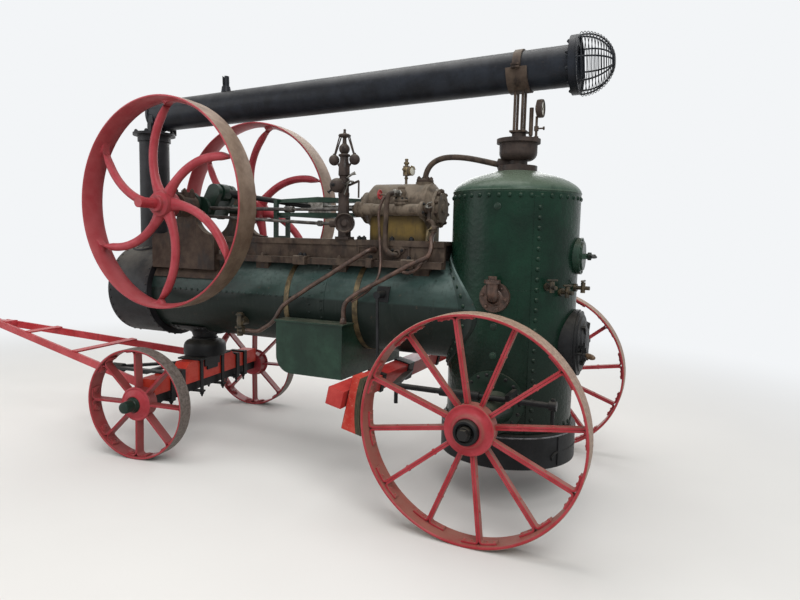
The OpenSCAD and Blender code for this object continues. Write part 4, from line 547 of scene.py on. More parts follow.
def placed(shape, matrix):
    """A shape moved by a matrix."""
    return [tuple(matrix @ Vector(p)) for p in shape[0]], shape[1]


def together(*shapes):
    """Several shapes as one."""
    points, faces = [], []
    for some_points, some_faces in shapes:
        base = len(points)
        points += some_points
        faces += [tuple(i + base for i in face) for face in some_faces]
    return points, faces


def slab(low, high):
    """A box between two corners."""
    points = [(x, y, z) for x in (low[0], high[0]) for y in (low[1], high[1]) for z in (low[2], high[2])]
    faces = [(0, 1, 3, 2), (4, 6, 7, 5), (0, 4, 5, 1), (2, 3, 7, 6), (0, 2, 6, 4), (1, 5, 7, 3)]
    return points, faces


def swept(path, radius, sides=12, flat=1.0):
    """A bar along a path, with a radius or a list of radii, squeezed by flat across its own level."""
    radii = radius if isinstance(radius, (list, tuple)) else [radius] * len(path)
    path = [Vector(p) for p in path]
    points, across = [], None
    for i, here in enumerate(path):
        heading = (path[min(i + 1, len(path) - 1)] - path[max(i - 1, 0)]).normalized()
        base = across if across is not None else Vector((0.11, 0.93, 0.34))
        across = (base - heading * base.dot(heading)).normalized()
        over = heading.cross(across)
        for k in range(sides):
            turn = TAU * k / sides
            points.append(tuple(here + radii[i] * (math.cos(turn) * across + math.sin(turn) * over * flat)))
    faces = []
    for i in range(len(path) - 1):
        for k in range(sides):
            m = (k + 1) % sides
            faces.append((i * sides + k, i * sides + m, (i + 1) * sides + m, (i + 1) * sides + k))
    faces.append(tuple(reversed(range(sides))))
    faces.append(tuple((len(path) - 1) * sides + k for k in range(sides)))
    return points, faces


def flat_bar(path, across, thick, wide, chamfer=0.0015):
    """A flat bar with broken edges along a path; across is the direction of its width."""
    path, across = [Vector(p) for p in path], Vector(across).normalized()
    t, w, c = thick / 2, wide / 2, chamfer
    outline = ((t - c, w), (t, w - c), (t, c - w), (t - c, -w), (c - t, -w), (-t, c - w), (-t, w - c), (c - t, w))
    points = []
    for i, here in enumerate(path):
        heading = (path[min(i + 1, len(path) - 1)] - path[max(i - 1, 0)]).normalized()
        over = heading.cross(across).normalized()
        points += [tuple(here + over * a + across * b) for a, b in outline]
    faces = [tuple(reversed(range(8))), tuple(8 * (len(path) - 1) + k for k in range(8))]
    for i in range(len(path) - 1):
        faces += [(8 * i + k, 8 * i + (k + 1) % 8, 8 * i + 8 + (k + 1) % 8, 8 * i + 8 + k) for k in range(8)]
    return points, faces


def rounded(corners, bend):
    """A path through corners with round bends."""
    steps = 5
    corners = [Vector(c) for c in corners]
    path = [corners[0]]
    for before, here, after in zip(corners, corners[1:], corners[2:]):
        a, b = (before - here), (after - here)
        reach = min(bend, a.length / 2.1, b.length / 2.1)
        start, end = here + a.normalized() * reach, here + b.normalized() * reach
        for k in range(steps + 1):
            t = k / steps
            path.append((1 - t) ** 2 * start + 2 * t * (1 - t) * here + t * t * end)
    return path + [corners[-1]]


def facing(point, outward, turn=0.0):
    """Matrix that stands a shape at a point with its Z outward."""
    outward = Vector(outward).normalized()
    stand = outward.to_track_quat("Z", "Y").to_matrix().to_4x4()
    return Matrix.Translation(point) @ stand @ Matrix.Rotation(turn, 4, "Z")


def piece(name, shape, body, finish, sharp=35):
    """Makes a shape into a piece of the object that rides a body."""
    mesh = bpy.data.meshes.new(name)
    mesh.from_pydata(shape[0], [], shape[1])
    mesh.validate()
    mesh.shade_smooth()
    mesh.set_sharp_from_angle(angle=math.radians(sharp))
    made = bpy.data.objects.new(name, mesh)
    bpy.context.scene.collection.objects.link(made)
    finishes = finish if isinstance(finish, (list, tuple)) else [finish]
    for one in finishes:
        mesh.materials.append(FINISH[one][0])
    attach(made, body)
    return made


def stamped(name, shape, spots, body, finish):
    """One piece with a shape at every (point, outward) spot."""
    copies = [placed(shape, facing(point, outward, 0.4 * i)) for i, (point, outward) in enumerate(spots)]
    return piece(name, together(*copies), body, finish, sharp=50)


def rivet(radius):
    """A snap-headed rivet."""
    profile = [(radius, -0.002)]
    for k in range(4):
        angle = math.radians(90 * k / 3)
        profile.append((radius * math.cos(angle) + 1e-5, radius * 0.62 * math.sin(angle)))
    return turned(profile, 10)


# A hexagon's corner radius over half its width: a little under the true 1.155, for its rubbed corners
CORNER = 1.12


def bolt(across, height):
    """A hexagon nut with a chamfer on a round washer and the bolt's rounded end above it."""
    flat, washer = across / 2 * CORNER, across / 2 * 1.35
    head = turned([(flat, 0), (flat, height * 0.82), (flat * 0.86, height), (flat * 0.5, height)], 6)
    ring = turned([(washer, -0.002), (washer, height * 0.18), (0.001, height * 0.18)], 16)
    end = [(flat * 0.5, height * 0.9), (flat * 0.5, height * 1.25), (flat * 0.3, height * 1.38), (1e-5, height * 1.4)]
    return together(head, ring, turned(end, 10))


def ring_spots(centre, axis, radius, count, start=0.0):
    """Spots round a flange: the points of a circle, all facing along the axis."""
    axis = Vector(axis).normalized()
    side = Vector(LEFT) if abs(axis.y) < 0.9 else UP
    side = (side - axis * side.dot(axis)).normalized()
    over = axis.cross(side)
    spots = []
    for k in range(count):
        angle = start + TAU * k / count
        spots.append((Vector(centre) + radius * (math.cos(angle) * side + math.sin(angle) * over), axis))
    return spots


def circle(count, radius):
    """Places (cosine, sine) of so many points of a circle."""
    return [(radius * math.cos(TAU * k / count), radius * math.sin(TAU * k / count)) for k in range(count)]


def hoop_spots(x_or_z, radius, count, along, start=0.0):
    """Spots round the barrel (along X) or the shell (along Z), facing out."""
    spots = []
    for k in range(count):
        angle = start + TAU * k / count
        c, s = math.cos(angle), math.sin(angle)
        if along == "X":
            spots.append((at(x_or_z, radius * s, BARREL_Z + radius * c), Vector((0, s, c))))
        else:
            spots.append((at(SHELL_X + radius * c, radius * s, x_or_z), Vector((c, s, 0))))
    return spots


# Lays a wheel that is turned round Z on its side, with its axle along Y
LAY = Matrix.Rotation(-math.pi / 2, 4, "X")


def wheel_rim(radius, thick, middle_y, half):
    """A rolled rim: a tread with broken edges and a flat inner side."""
    inner, edge = radius - thick, 0.004
    profile = [(radius, edge - half), (radius, half - edge), (radius - edge, half), (inner + edge, half),
               (inner, half - edge), (inner, edge - half), (inner + edge, -half), (radius - edge, -half),
               (radius, edge - half)]
    return placed(turned([(r, middle_y + h) for r, h in profile], 128), LAY)


def set_wheel(name, shape, body, finish, centre, turn=0.0, mirrored=False):
    """Stands a wheel built about its hub, outer side at +Y, on its axle; the right one is mirrored."""
    stand = Matrix.Translation(centre) @ Matrix.Rotation(turn, 4, "Z")
    if mirrored:
        stand = stand @ Matrix.Diagonal((1, -1, 1, 1))
    points, faces = placed(shape, stand)
    if mirrored:
        faces = [tuple(reversed(f)) for f in faces]
    return piece(name, (points, faces), body, finish)


def pipe(corners, radius, bend=0.030, sides=16):
    """A bent pipe through places given from the rear axle."""
    return swept(rounded([at(*corner) for corner in corners], bend), radius, sides)


def fitting(spot, along, profile, steps=28):
    """A turned fitting: its profile of (radius, height) starts at a place and runs along a direction."""
    return placed(turned(profile, steps), facing(at(*spot), along))


def hexagon(across, low, high):
    """Profile of a hexagon with chamfered ends, for a fitting of six steps."""
    r, c = across / 2 * CORNER, across * 0.09
    return [(0.001, low), (r - c, low), (r, low + c), (r, high - c), (r - c, high), (0.001, high)]


def ball(spot, radius):
    """A cast ball."""
    turns = [math.radians(a) for a in range(-90, 91, 12)]
    return fitting(spot, UP, [(radius * math.cos(a) + 1e-5, radius * math.sin(a)) for a in turns], 24)


def hand_wheel(spot, axis, radius, rod):
    """A small cast handwheel with a round rim, four tapering arms and a nut."""
    ring = [(radius + rod * math.cos(TAU * k / 10), rod * math.sin(TAU * k / 10)) for k in range(11)]
    nut = [(0.001, -0.006), (rod * 1.9, -0.006), (rod * 2.1, 0.004), (rod * 1.4, 0.008), (0.001, 0.008)]
    shapes = [turned(ring, 36), turned(nut, 16)]
    for k in range(4):
        turn = TAU * k / 4
        way = Vector((math.cos(turn), math.sin(turn), 0))
        shapes.append(swept([way * 0.004, way * radius * 0.5, way * radius], [rod * 0.95, rod * 0.7, rod * 0.85], 8))
    return placed(together(*shapes), facing(at(*spot), axis))


def bowed(places, steps):
    """Points on a smooth curve from the first to the last of four places, drawn toward the two between."""
    a, b, c, d = (at(*place) for place in places)
    path = []
    for k in range(steps + 1):
        t = k / steps
        path.append(a * (1 - t) ** 3 + b * 3 * t * (1 - t) ** 2 + c * 3 * t * t * (1 - t) + d * t ** 3)
    return path


def steered_slab(s0, s1, o0, o1, z0, z1):
    """A box on the steered fore-carriage, from its own ahead, left and height places."""
    low, high = Vector((s0, o0, z0)), Vector((s1, o1, z1))
    return placed(slab(low, high), Matrix.Translation(steered(0, 0, 0)) @ Matrix.Rotation(STEER, 4, "Z"))


# Pieces


def firebox_rivets():
    """Rows under the dome and at the foot, the upright lap, the throat flange and the axle plates."""
    spots = hoop_spots(1.862, SHELL_R, 40, "Z") + hoop_spots(0.492, SHELL_R, 40, "Z", 0.04)
    lap = math.radians(124.4)
    for turn, plate in ((lap, 0.004), (-lap, 0)):
        c, s = math.cos(turn), math.sin(turn)
        reach = SHELL_R + plate
        for k in range(22):
            spots.append((at(SHELL_X + reach * c, reach * s, 0.545 + 0.0595 * k), Vector((c, s, 0))))
    for up, y in circle(36, 0.352):
        x = math.sqrt((SHELL_R + 0.010) ** 2 - y * y)
        spots.append((at(SHELL_X + x, y, BARREL_Z + up), Vector((x, y, 0))))
    stamped("firebox_rivets", rivet(0.0138), spots, "engine", "firebox")
    plates = []
    for side in (1, -1):
        for dx, up in circle(18, 0.168):
            y, z = side * math.sqrt((SHELL_R + 0.0143) ** 2 - dx * dx), 0.640 + up
            if z > 0.47:
                plates.append((at(SHELL_X + dx, y, z), Vector((dx, y, 0))))
    stamped("axle_plate_rivets", rivet(0.011), plates, "engine", "black")


def barrel_rivets():
    """The ring lap and the long lap of the barrel."""
    spots = []
    for x, start in ((1.272, 0), (1.368, 0.09)):
        spots += [s for s in hoop_spots(x, BARREL_R + 0.003, 34, "X", start) if s[0].z < 1.40]
    for side in (1, -1):
        turn = math.radians(82) * side
        s, c = math.sin(turn), math.cos(turn)
        for k in range(23):
            x = 1.42 + 0.056 * k
            spots.append((at(x, BARREL_R * s, BARREL_Z + BARREL_R * c), Vector((0, s, c))))
    stamped("barrel_rivets", rivet(0.010), spots, "engine", "barrel")


def smokebox_rivets():
    """Rings of rivets at both ends of the smokebox and round the stub's saddle."""
    spots = hoop_spots(SMOKE_BACK + 0.017, SMOKE_R + 0.007, 36, "X")
    spots += hoop_spots(SMOKE_FRONT - 0.022, SMOKE_R, 36, "X")
    for dx, y in circle(18, 0.168):
        z = math.sqrt((SMOKE_R + 0.0143) ** 2 - y * y)
        if abs(dx) < 0.145:
            spots.append((at(STUB_X + dx, y, BARREL_Z + z), Vector((0, y, z))))
    stamped("smokebox_rivets", rivet(0.010), spots, "engine", "smokebox")


def chimney_bolts():
    """Nuts round the stub's flange."""
    spots = ring_spots(at(STUB_X, 0, STUB_TOP), UP, 0.148, 8, 0.39)
    stamped("stub_flange_bolts", bolt(0.026, 0.016), spots, "engine", "smokebox")


def swung(point, angle):
    """A point of the plane turned about its origin."""
    c, s = math.cos(angle), math.sin(angle)
    return Vector((point.x * c - point.y * s, point.x * s + point.y * c))


def flywheel_spoke(turn, rim_in):
    """One oval spoke on an arc, turned to its place, that swells into the boss and the rim."""
    steps, sides = 26, 18
    sweep, root, tip = math.radians(35), 0.070, rim_in + 0.004
    start = Vector((root * math.cos(sweep), root * math.sin(sweep)))
    chord = Vector((tip, 0)) - start
    off = sweep - math.atan2(chord.y, chord.x)
    bow = chord.length / (2 * math.sin(off))
    centre = start + bow * Vector((math.sin(sweep), -math.cos(sweep)))
    points = []
    for i in range(steps + 1):
        t = i / steps
        angle = math.pi / 2 + sweep - 2 * off * t
        out = Vector((math.cos(angle), math.sin(angle)))
        core = centre + bow * out
        near_rim = max(0.0, (t - 0.80) / 0.20)
        near_hub = max(0.0, (0.22 - t) / 0.22)
        wide = 0.0325 - 0.003 * t + 0.056 * near_rim ** 3 + 0.020 * near_hub ** 2
        deep = 0.0300 + 0.004 * near_rim + 0.006 * near_hub
        for j in range(sides):
            a = TAU * j / sides
            along_rim = swung(core, -wide * math.cos(a) / core.length)
            p = swung((core + out * wide * math.cos(a)).lerp(along_rim, near_rim ** 1.5), turn)
            points.append((-p.x, deep * math.sin(a), p.y))
    faces = [tuple(range(sides)), tuple(steps * sides + j for j in reversed(range(sides)))]
    for first in range(0, steps * sides, sides):
        for j in range(sides):
            here, beside = first + j, first + (j + 1) % sides
            faces.append((here, here + sides, beside + sides, beside))
    return points, faces


def flywheel(side):
    """Cast flywheel: a turned rim with a barely crowned tread, six bowed spokes and a keyed boss."""
    rim_in, half, edge = FLY_R - 0.030, FLY_W / 2, 0.004
    tread = [(FLY_R - 0.003, -half + edge), (FLY_R - 0.0005, -half * 0.4), (FLY_R, 0), (FLY_R - 0.0005, half * 0.4),
             (FLY_R - 0.003, half - edge)]
    rim = [(FLY_R - 0.003, half - edge), (FLY_R - 0.007, half), (FLY_R - 0.014, half), (rim_in + 0.010, half - 0.010),
           (rim_in, half * 0.45), (rim_in - 0.006, 0), (rim_in, -half * 0.45), (rim_in + 0.010, -half + 0.010),
           (FLY_R - 0.014, -half), (FLY_R - 0.007, -half), (FLY_R - 0.003, -half + edge)]
    boss = [(0.037, -0.076), (0.075, -0.076), (0.090, -0.066), (0.094, -0.02), (0.094, 0.03), (0.088, 0.056),
            (0.070, 0.064), (0.064, 0.070), (0.062, 0.092), (0.056, 0.098), (0.037, 0.098)]
    first = 24 if side > 0 else 18
    spokes = [flywheel_spoke(math.radians(first + 60 * k), rim_in) for k in range(6)]
    red = together(placed(turned(rim, 144), LAY), placed(turned(boss, 48), LAY), *spokes)
    whole = together(red, placed(turned(tread, 144), LAY))
    name = "flywheel_cast_" + ("left" if side > 0 else "right")
    centre = at(CRANK_X, side * FLY_Y, CRANK_Z)
    made = set_wheel(name, whole, "crank", ["fly_red", "fly_tread"], centre, 0, side < 0)
    for polygon in list(made.data.polygons)[len(red[1]) :]:
        polygon.material_index = 1
    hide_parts("flywheel_left" if side > 0 else "flywheel_right")


def split_spokes(count, first, root, rim_in, bar_t, bar_w, bend, foot, y_hub, y_rim):
    """Spokes of two flat bars back to back, whose outer ends are bent apart along the rim.

    y_hub and y_rim hold, for each row of spokes, how far out it stands at the hub and at the rim.
    """
    shapes = []
    for k in range(count):
        turn = first + TAU * k / count
        row = k % len(y_hub)
        for side in (-1, 1):
            path = []
            lane = side * (bar_t / 2 + 0.0006)
            seat = rim_in - bar_t / 2 - 0.0004
            straight = seat - bend
            for r in (root, (root + straight) / 2, straight):
                path.append((r, lane))
            for step in range(1, 6):
                a = math.radians(90 * step / 5)
                path.append((straight + bend * math.sin(a), lane + side * bend * (1 - math.cos(a))))
            for step in range(1, 6):
                a = (abs(lane) + bend + foot * step / 5) / seat
                path.append((seat * math.cos(a), side * seat * math.sin(a)))
            spots = []
            for r, tangent in path:
                share = min(max((r - root) / (straight - root), 0), 1)
                y = y_hub[row] + (y_rim[row] - y_hub[row]) * share
                spots.append((r * math.sin(turn) + tangent * math.cos(turn), y,
                              r * math.cos(turn) - tangent * math.sin(turn)))
            shapes.append(flat_bar(spots, LEFT, bar_t, bar_w))
    return shapes


def rear_wheel(side):
    """Rear wheel: twelve double-bar spokes in two rows from a cast drum with a dished, rolled front."""
    rim_in, count, root, run = REAR_R - 0.016, 12, 0.110, 0.46
    y_hub, y_rim = (0.868, 0.838), (0.912, 0.868)
    drum = [(0.036, 0.774), (0.070, 0.774), (0.078, 0.780), (0.080, 0.806), (0.126, 0.812), (0.132, 0.820),
            (0.132, 0.892), (0.137, 0.897), (0.1385, 0.903), (0.1365, 0.909), (0.130, 0.911), (0.122, 0.908),
            (0.108, 0.909), (0.096, 0.917), (0.085, 0.930), (0.079, 0.941), (0.074, 0.944), (0.069, 0.942),
            (0.067, 0.930)]
    shapes = [wheel_rim(REAR_R, 0.016, REAR_RIM_Y, 0.065), placed(turned(drum, 64), LAY)]
    shapes += split_spokes(count, REAR_TURN, root, rim_in, 0.012, 0.042, 0.016, 0.075, y_hub, y_rim)
    body = "rear_wheel_left" if side > 0 else "rear_wheel_right"
    made = set_wheel("built_" + body, together(*shapes), body, "rear_red", REAR_CENTRE, 0, side < 0)
    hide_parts(body)
    cup = turned([(0.070, 0.928), (0.0665, 0.944), (0.0665, 0.966), (0.062, 0.972), (0.052, 0.972), (0.048, 0.968),
                  (0.048, 0.950), (0.036, 0.948)], 40)
    set_wheel("hub_cup_" + body, placed(cup, LAY), body, "black", REAR_CENTRE, 0, side < 0)
    heads = []
    for k in range(count):
        turn, row = REAR_TURN + TAU * k / count, k % 2
        c, s = math.cos(turn), math.sin(turn)
        for r in (0.25, 0.43):
            y = y_hub[row] + (y_rim[row] - y_hub[row]) * (r - root) / run
            for way in (-1, 1):
                out = way * 0.0128
                place = Vector((r * s + out * c, side * y, r * c - out * s))
                heads.append((REAR_CENTRE + place, Vector((way * c, 0, -way * s))))
        for arc in (0.044, 0.084):
            for way in (-1, 1):
                a, r = turn + way * arc / rim_in, rim_in - 0.0126
                place = Vector((r * math.sin(a), side * y_rim[row], r * math.cos(a)))
                heads.append((REAR_CENTRE + place, Vector((-math.sin(a), 0, -math.cos(a)))))
    stamped("rivets_" + body, rivet(0.0085), heads, body, "rear_red")


def front_wheel(side):
    """Front wheel: eight broad double-plate spokes with leaf-shaped feet, a coned hub and a long green cap."""
    rim_in, count = FRONT_R - 0.014, 8
    hub = [(0.029, 0.714), (0.096, 0.714), (0.104, 0.722), (0.106, 0.740), (0.106, 0.796), (0.117, 0.804),
           (0.1215, 0.812), (0.120, 0.819), (0.113, 0.822), (0.104, 0.819), (0.094, 0.822), (0.074, 0.838),
           (0.061, 0.846), (0.056, 0.844), (0.054, 0.838)]
    shapes = [wheel_rim(FRONT_R, 0.014, FRONT_Y, 0.0575), placed(turned(hub, 56), LAY)]
    shapes += split_spokes(count, 0, 0.090, rim_in, 0.007, 0.072, 0.026, 0.052, (0.782,), (0.788,))
    body = "front_wheel_left" if side > 0 else "front_wheel_right"
    made = set_wheel("built_" + body, together(*shapes), body, "front_red", FRONT_CENTRE, STEER, side < 0)
    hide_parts(body)
    cap = turned([(0.056, 0.836), (0.052, 0.850), (0.046, 0.858), (0.0455, 0.866), (0.042, 0.870), (0.0405, 0.932),
                  (0.037, 0.940), (0.030, 0.943), (0.002, 0.943)], 40)
    set_wheel("hub_cap_" + body, placed(cap, LAY), body, "crank_green", FRONT_CENTRE, STEER, side < 0)
    ahead = Vector((math.cos(STEER), math.sin(STEER), 0))
    leaf = together(turned([(0.027, -0.001), (0.027, 0.004), (0.025, 0.0055), (0.012, 0.0055)], 20), rivet(0.013))
    spots = []
    for k in range(count):
        for way in (-1, 1):
            a, r = TAU * k / count + way * 0.066 / rim_in, rim_in - 0.0085
            out = ahead * math.sin(a) + UP * math.cos(a)
            spots.append((FRONT_CENTRE + out * r + FRONT_AXLE * side * FRONT_Y, -out))
    stamped("spoke_feet_" + body, leaf, spots, body, "front_red")


def engine_bolts():
    """Nuts on the cylinder's covers, the bearing caps and the bed's feet."""
    back = ring_spots(at(CYLINDER_BACK, 0, CYLINDER_Z), BACK, 0.114, 10, 0.3)
    front = ring_spots(at(CYLINDER_FRONT + 0.030, 0, CRANK_Z), AHEAD, 0.088, 8)
    stamped("cylinder_nuts", bolt(0.024, 0.015), back + front, "engine", "brown")
    caps = []
    for side in (1, -1):
        for dx in (-0.042, 0.042):
            for y in (0.300, 0.375):
                caps.append((at(CRANK_X + dx, side * y, CRANK_Z + 0.096), UP))
    stamped("bearing_cap_nuts", bolt(0.030, 0.022), caps, "engine", "brown")
    feet = []
    for side in (1, -1):
        for x in (0.52, 0.84, 1.16, 1.48, 1.80, 2.12):
            feet.append((at(x, side * (BED_HALF + 0.026), BED_FOOT), UP))
    stamped("bed_foot_bolts", bolt(0.024, 0.016), feet, "engine", "brown")


def valve_chest():
    """Piston-valve chest beside the cylinder: bolted flanges, a gland and the steam stop valve on top."""
    y, z, back = 0.192, 1.788, 0.579
    stem_y, stem_z = 0.204, 1.885
    chest = [(0.001, 0), (0.048, 0), (0.052, 0.004), (0.052, 0.022), (0.048, 0.026), (0.041, 0.028), (0.037, 0.034),
             (0.037, 0.368), (0.041, 0.373), (0.041, 0.436), (0.048, 0.442), (0.052, 0.446), (0.052, 0.464),
             (0.049, 0.468), (0.045, 0.4685), (0.045, 0.4715), (0.049, 0.472), (0.052, 0.476), (0.052, 0.494),
             (0.048, 0.498), (0.034, 0.500), (0.031, 0.504), (0.031, 0.516), (0.027, 0.520), (0.012, 0.520)]
    bonnet = [(0.025, 0.010), (0.028, 0.026), (0.042, 0.030), (0.046, 0.034), (0.046, 0.045), (0.044, 0.0475),
              (0.041, 0.048), (0.041, 0.050), (0.044, 0.0505), (0.046, 0.053), (0.046, 0.062), (0.042, 0.066),
              (0.028, 0.070), (0.025, 0.078), (0.026, 0.090), (0.033, 0.100), (0.035, 0.112), (0.031, 0.126),
              (0.025, 0.132)]
    spindle = [(0.020, 0.0), (0.020, 0.036), (0.014, 0.040), (0.014, 0.062), (0.0065, 0.066), (0.0065, 0.150),
               (0.001, 0.151)]
    shapes = [fitting((back, y, z), AHEAD, chest, 48), slab(at(0.655, 0.110, 1.766), at(0.975, 0.190, 1.812)),
              fitting((0.745, y, z), UP, bonnet, 36), fitting((0.745, y, z), UP, hexagon(0.050, 0.130, 0.150), 6),
              fitting((0.752, stem_y, stem_z), AHEAD, spindle, 20),
              fitting((0.790, stem_y, stem_z), AHEAD, hexagon(0.026, 0.0, 0.014), 6)]
    made = piece("valve_chest_cast", together(*shapes), "engine", "grey_brown", 30)
    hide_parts("valve_chest")
    nuts = ring_spots(at(0.745, y, z + 0.066), UP, 0.035, 4, 0.6)
    nuts += ring_spots(at(back + 0.498, y, z), AHEAD, 0.042, 4, 0.5)
    nuts += ring_spots(at(back, y, z), BACK, 0.040, 4, 0.5)
    stamped("valve_chest_nuts", bolt(0.014, 0.010), nuts, "engine", "black")
    piece("stop_valve_wheel", hand_wheel((0.896, stem_y, stem_z), AHEAD, 0.029, 0.0045), "engine", "bar_red", 50)
    elbow = [pipe([(0.750, 0.205, 1.893), (0.752, 0.238, 1.893), (0.772, 0.262, 1.891)], 0.0165, 0.018),
             fitting((0.748, 0.212, 1.893), (0.15, 1, 0), hexagon(0.042, 0.0, 0.014), 6),
             fitting((0.760, 0.250, 1.892), (0.75, 0.6, 0), hexagon(0.044, -0.004, 0.014), 6)]
    piece("stop_valve_elbow", together(*elbow), "engine", "steel", 40)


def feed_pipe_runs():
    """The two copper feed pipes with their unions, the exhaust's drain with its flange and the thin drains."""
    pump_run = [(0.905, 0.256, 1.520), (0.905, 0.330, 1.520), (1.310, 0.400, 1.262), (1.520, 0.420, 1.125),
                (1.592, 0.422, 1.005), (1.744, 0.390, 0.920), (1.818, 0.394, 0.9205), (1.850, 0.394, 0.9205)]
    tank_run = [(0.510, 0.196, 1.640), (0.500, 0.262, 1.600), (0.470, 0.316, 1.560), (0.478, 0.338, 1.490),
                (0.600, 0.352, 1.436), (0.760, 0.390, 1.342), (0.960, 0.400, 1.235), (1.052, 0.396, 1.165),
                (1.052, 0.396, 1.032)]
    sleeve = [(0.017, 0), (0.021, 0.004), (0.021, 0.030), (0.017, 0.036)]
    shapes = [pipe(pump_run, 0.015, 0.055), pipe(tank_run, 0.015, 0.050),
              fitting((0.905, 0.252, 1.520), LEFT, hexagon(0.044, 0.0, 0.020), 6),
              fitting((0.905, 0.268, 1.520), LEFT, sleeve, 20),
              fitting((1.052, 0.396, 1.031), UP, hexagon(0.044, 0.0, 0.022), 6),
              fitting((1.052, 0.396, 1.052), UP, [(0.020, 0), (0.020, 0.012), (0.0165, 0.018)], 20)]
    made = piece("feed_pipes_bent", together(*shapes), "engine", "copper", 35)
    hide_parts("feed_pipes")
    exhaust = [(0.766, 0.258, 1.892), (0.796, 0.276, 1.886), (0.806, 0.282, 1.820), (0.812, 0.284, 1.600),
               (0.806, 0.290, 1.525), (0.762, 0.286, 1.492), (0.735, 0.262, 1.492)]
    piece("exhaust_drain_pipe", pipe(exhaust, 0.0165, 0.042), "engine", "brown", 40)
    long_run = [(0.790, 0.268, 1.890), (0.832, 0.284, 1.856), (0.862, 0.288, 1.772), (0.846, 0.292, 1.579),
                (0.822, 0.318, 1.430), (0.822, 0.352, 1.340), (0.880, 0.374, 1.256), (1.000, 0.384, 1.180)]
    short_run = [(0.520, 0.250, 1.500), (0.548, 0.296, 1.440), (0.575, 0.316, 1.400), (0.640, 0.318, 1.378),
                 (0.690, 0.300, 1.392)]
    thin = [pipe(long_run, 0.0085, 0.040, 12), pipe(short_run, 0.0115, 0.026, 12)]
    piece("thin_drain_pipes", together(*thin), "engine", "copper", 40)
    plate = turned([(0.001, 0), (0.030, 0), (0.034, 0.003), (0.034, 0.009), (0.031, 0.012), (0.001, 0.012)], 32)
    oval = facing(at(0.735, 0.250, 1.522), LEFT) @ Matrix.Diagonal((1.5, 0.85, 1, 1))
    socket = fitting((0.735, 0.258, 1.500), LEFT, [(0.027, 0), (0.027, 0.012), (0.022, 0.016), (0.018, 0.016)], 24)
    piece("bed_drain_flange", together(placed(plate, oval), socket), "engine", "brown", 40)
    nuts = [(at(x, 0.262, 1.522), Vector(LEFT)) for x in (0.700, 0.770)]
    stamped("bed_drain_nuts", bolt(0.016, 0.010), nuts, "engine", "black")


def drain_cocks():
    """Cylinder drain cluster at the back: a wing-handled cock, an elbow, a brass body and its pale lever."""
    cock = [(0.022, 0), (0.024, 0.006), (0.024, 0.020), (0.017, 0.026), (0.017, 0.044), (0.001, 0.046)]
    cap = [(0.001, 0), (0.016, 0.001), (0.019, 0.008), (0.019, 0.032), (0.013, 0.040), (0.013, 0.050), (0.001, 0.052)]
    body = [(0.016, 0), (0.022, 0.004), (0.024, 0.014), (0.020, 0.026), (0.015, 0.030)]
    elbow = [(0.545, 0.196, 1.785), (0.543, 0.197, 1.718), (0.516, 0.197, 1.706), (0.509, 0.197, 1.660)]
    shapes = [fitting((0.578, 0.192, 1.788), BACK, cock, 20), fitting((0.545, 0.196, 1.770), UP, cap, 18),
              pipe(elbow, 0.014, 0.020), fitting((0.509, 0.197, 1.640), UP, hexagon(0.040, 0.0, 0.016), 6),
              fitting((0.509, 0.197, 1.655), UP, body, 20),
              fitting((0.543, 0.197, 1.712), UP, hexagon(0.036, 0.0, 0.013), 6)]
    piece("drain_cluster", together(*shapes), "engine", "brown", 35)
    upper = [at(0.556, 0.224, 1.806), at(0.541, 0.226, 1.826), at(0.517, 0.224, 1.834)]
    lower = [at(0.553, 0.224, 1.802), at(0.536, 0.228, 1.796), at(0.515, 0.226, 1.802)]
    plug = [(0.001, 0), (0.010, 0), (0.010, 0.032), (0.001, 0.034)]
    wing = [flat_bar(upper, LEFT, 0.006, 0.014), flat_bar(lower, LEFT, 0.006, 0.014),
            fitting((0.550, 0.196, 1.806), LEFT, plug, 14)]
    piece("drain_wing_handle", together(*wing), "engine", "steel", 40)
    arm = [at(0.520, 0.214, 1.666), at(0.536, 0.230, 1.656), at(0.541, 0.231, 1.620), at(0.543, 0.231, 1.585)]
    pivot = [(0.001, 0), (0.009, 0), (0.009, 0.014), (0.001, 0.016)]
    lever = [flat_bar(arm, (1, 0.2, 0), 0.007, 0.013), fitting((0.515, 0.205, 1.668), (0.3, 1, 0), pivot, 12)]
    piece("drain_lever", together(*lever), "engine", "brass", 40)


def lubricator():
    """Brass sight-feed oiler on the cylinder, with a filler cap and a small glass-faced bull's eye."""
    x, z = 0.800, 1.970
    pot = [(0.009, 0.0), (0.009, 0.052), (0.015, 0.056), (0.022, 0.060), (0.0235, 0.066), (0.0235, 0.112),
           (0.020, 0.120), (0.012, 0.124), (0.012, 0.132), (0.019, 0.136), (0.019, 0.146), (0.011, 0.150),
           (0.008, 0.158), (0.013, 0.163), (0.011, 0.170), (0.001, 0.172)]
    eye = [(0.012, 0), (0.012, 0.018), (0.029, 0.024), (0.031, 0.030), (0.031, 0.037), (0.026, 0.039)]
    plug = [(0.006, 0), (0.006, 0.022), (0.010, 0.024), (0.010, 0.034), (0.001, 0.036)]
    spout = [at(x - 0.040, 0.012, z + 0.120), at(x - 0.062, 0.014, z + 0.112), at(x - 0.070, 0.014, z + 0.094)]
    shapes = [fitting((x, 0, z), UP, pot, 28), fitting((x, 0, z + 0.034), UP, hexagon(0.026, 0.0, 0.012), 6),
              fitting((x - 0.012, 0, z + 0.086), (-1, 0.25, 0), eye, 32),
              fitting((x, 0.018, z + 0.086), (0, 1, 0.3), plug, 14), swept(spout, 0.0045, 10)]
    piece("oiler_body", together(*shapes), "engine", "brass", 35)
    glass = [(0.026, 0), (0.026, 0.0025), (0.020, 0.0045), (0.001, 0.005)]
    face = fitting((x - 0.047, 0.0088, z + 0.086), (-1, 0.25, 0), glass, 28)
    piece("oiler_face", face, "engine", "dial", 60)


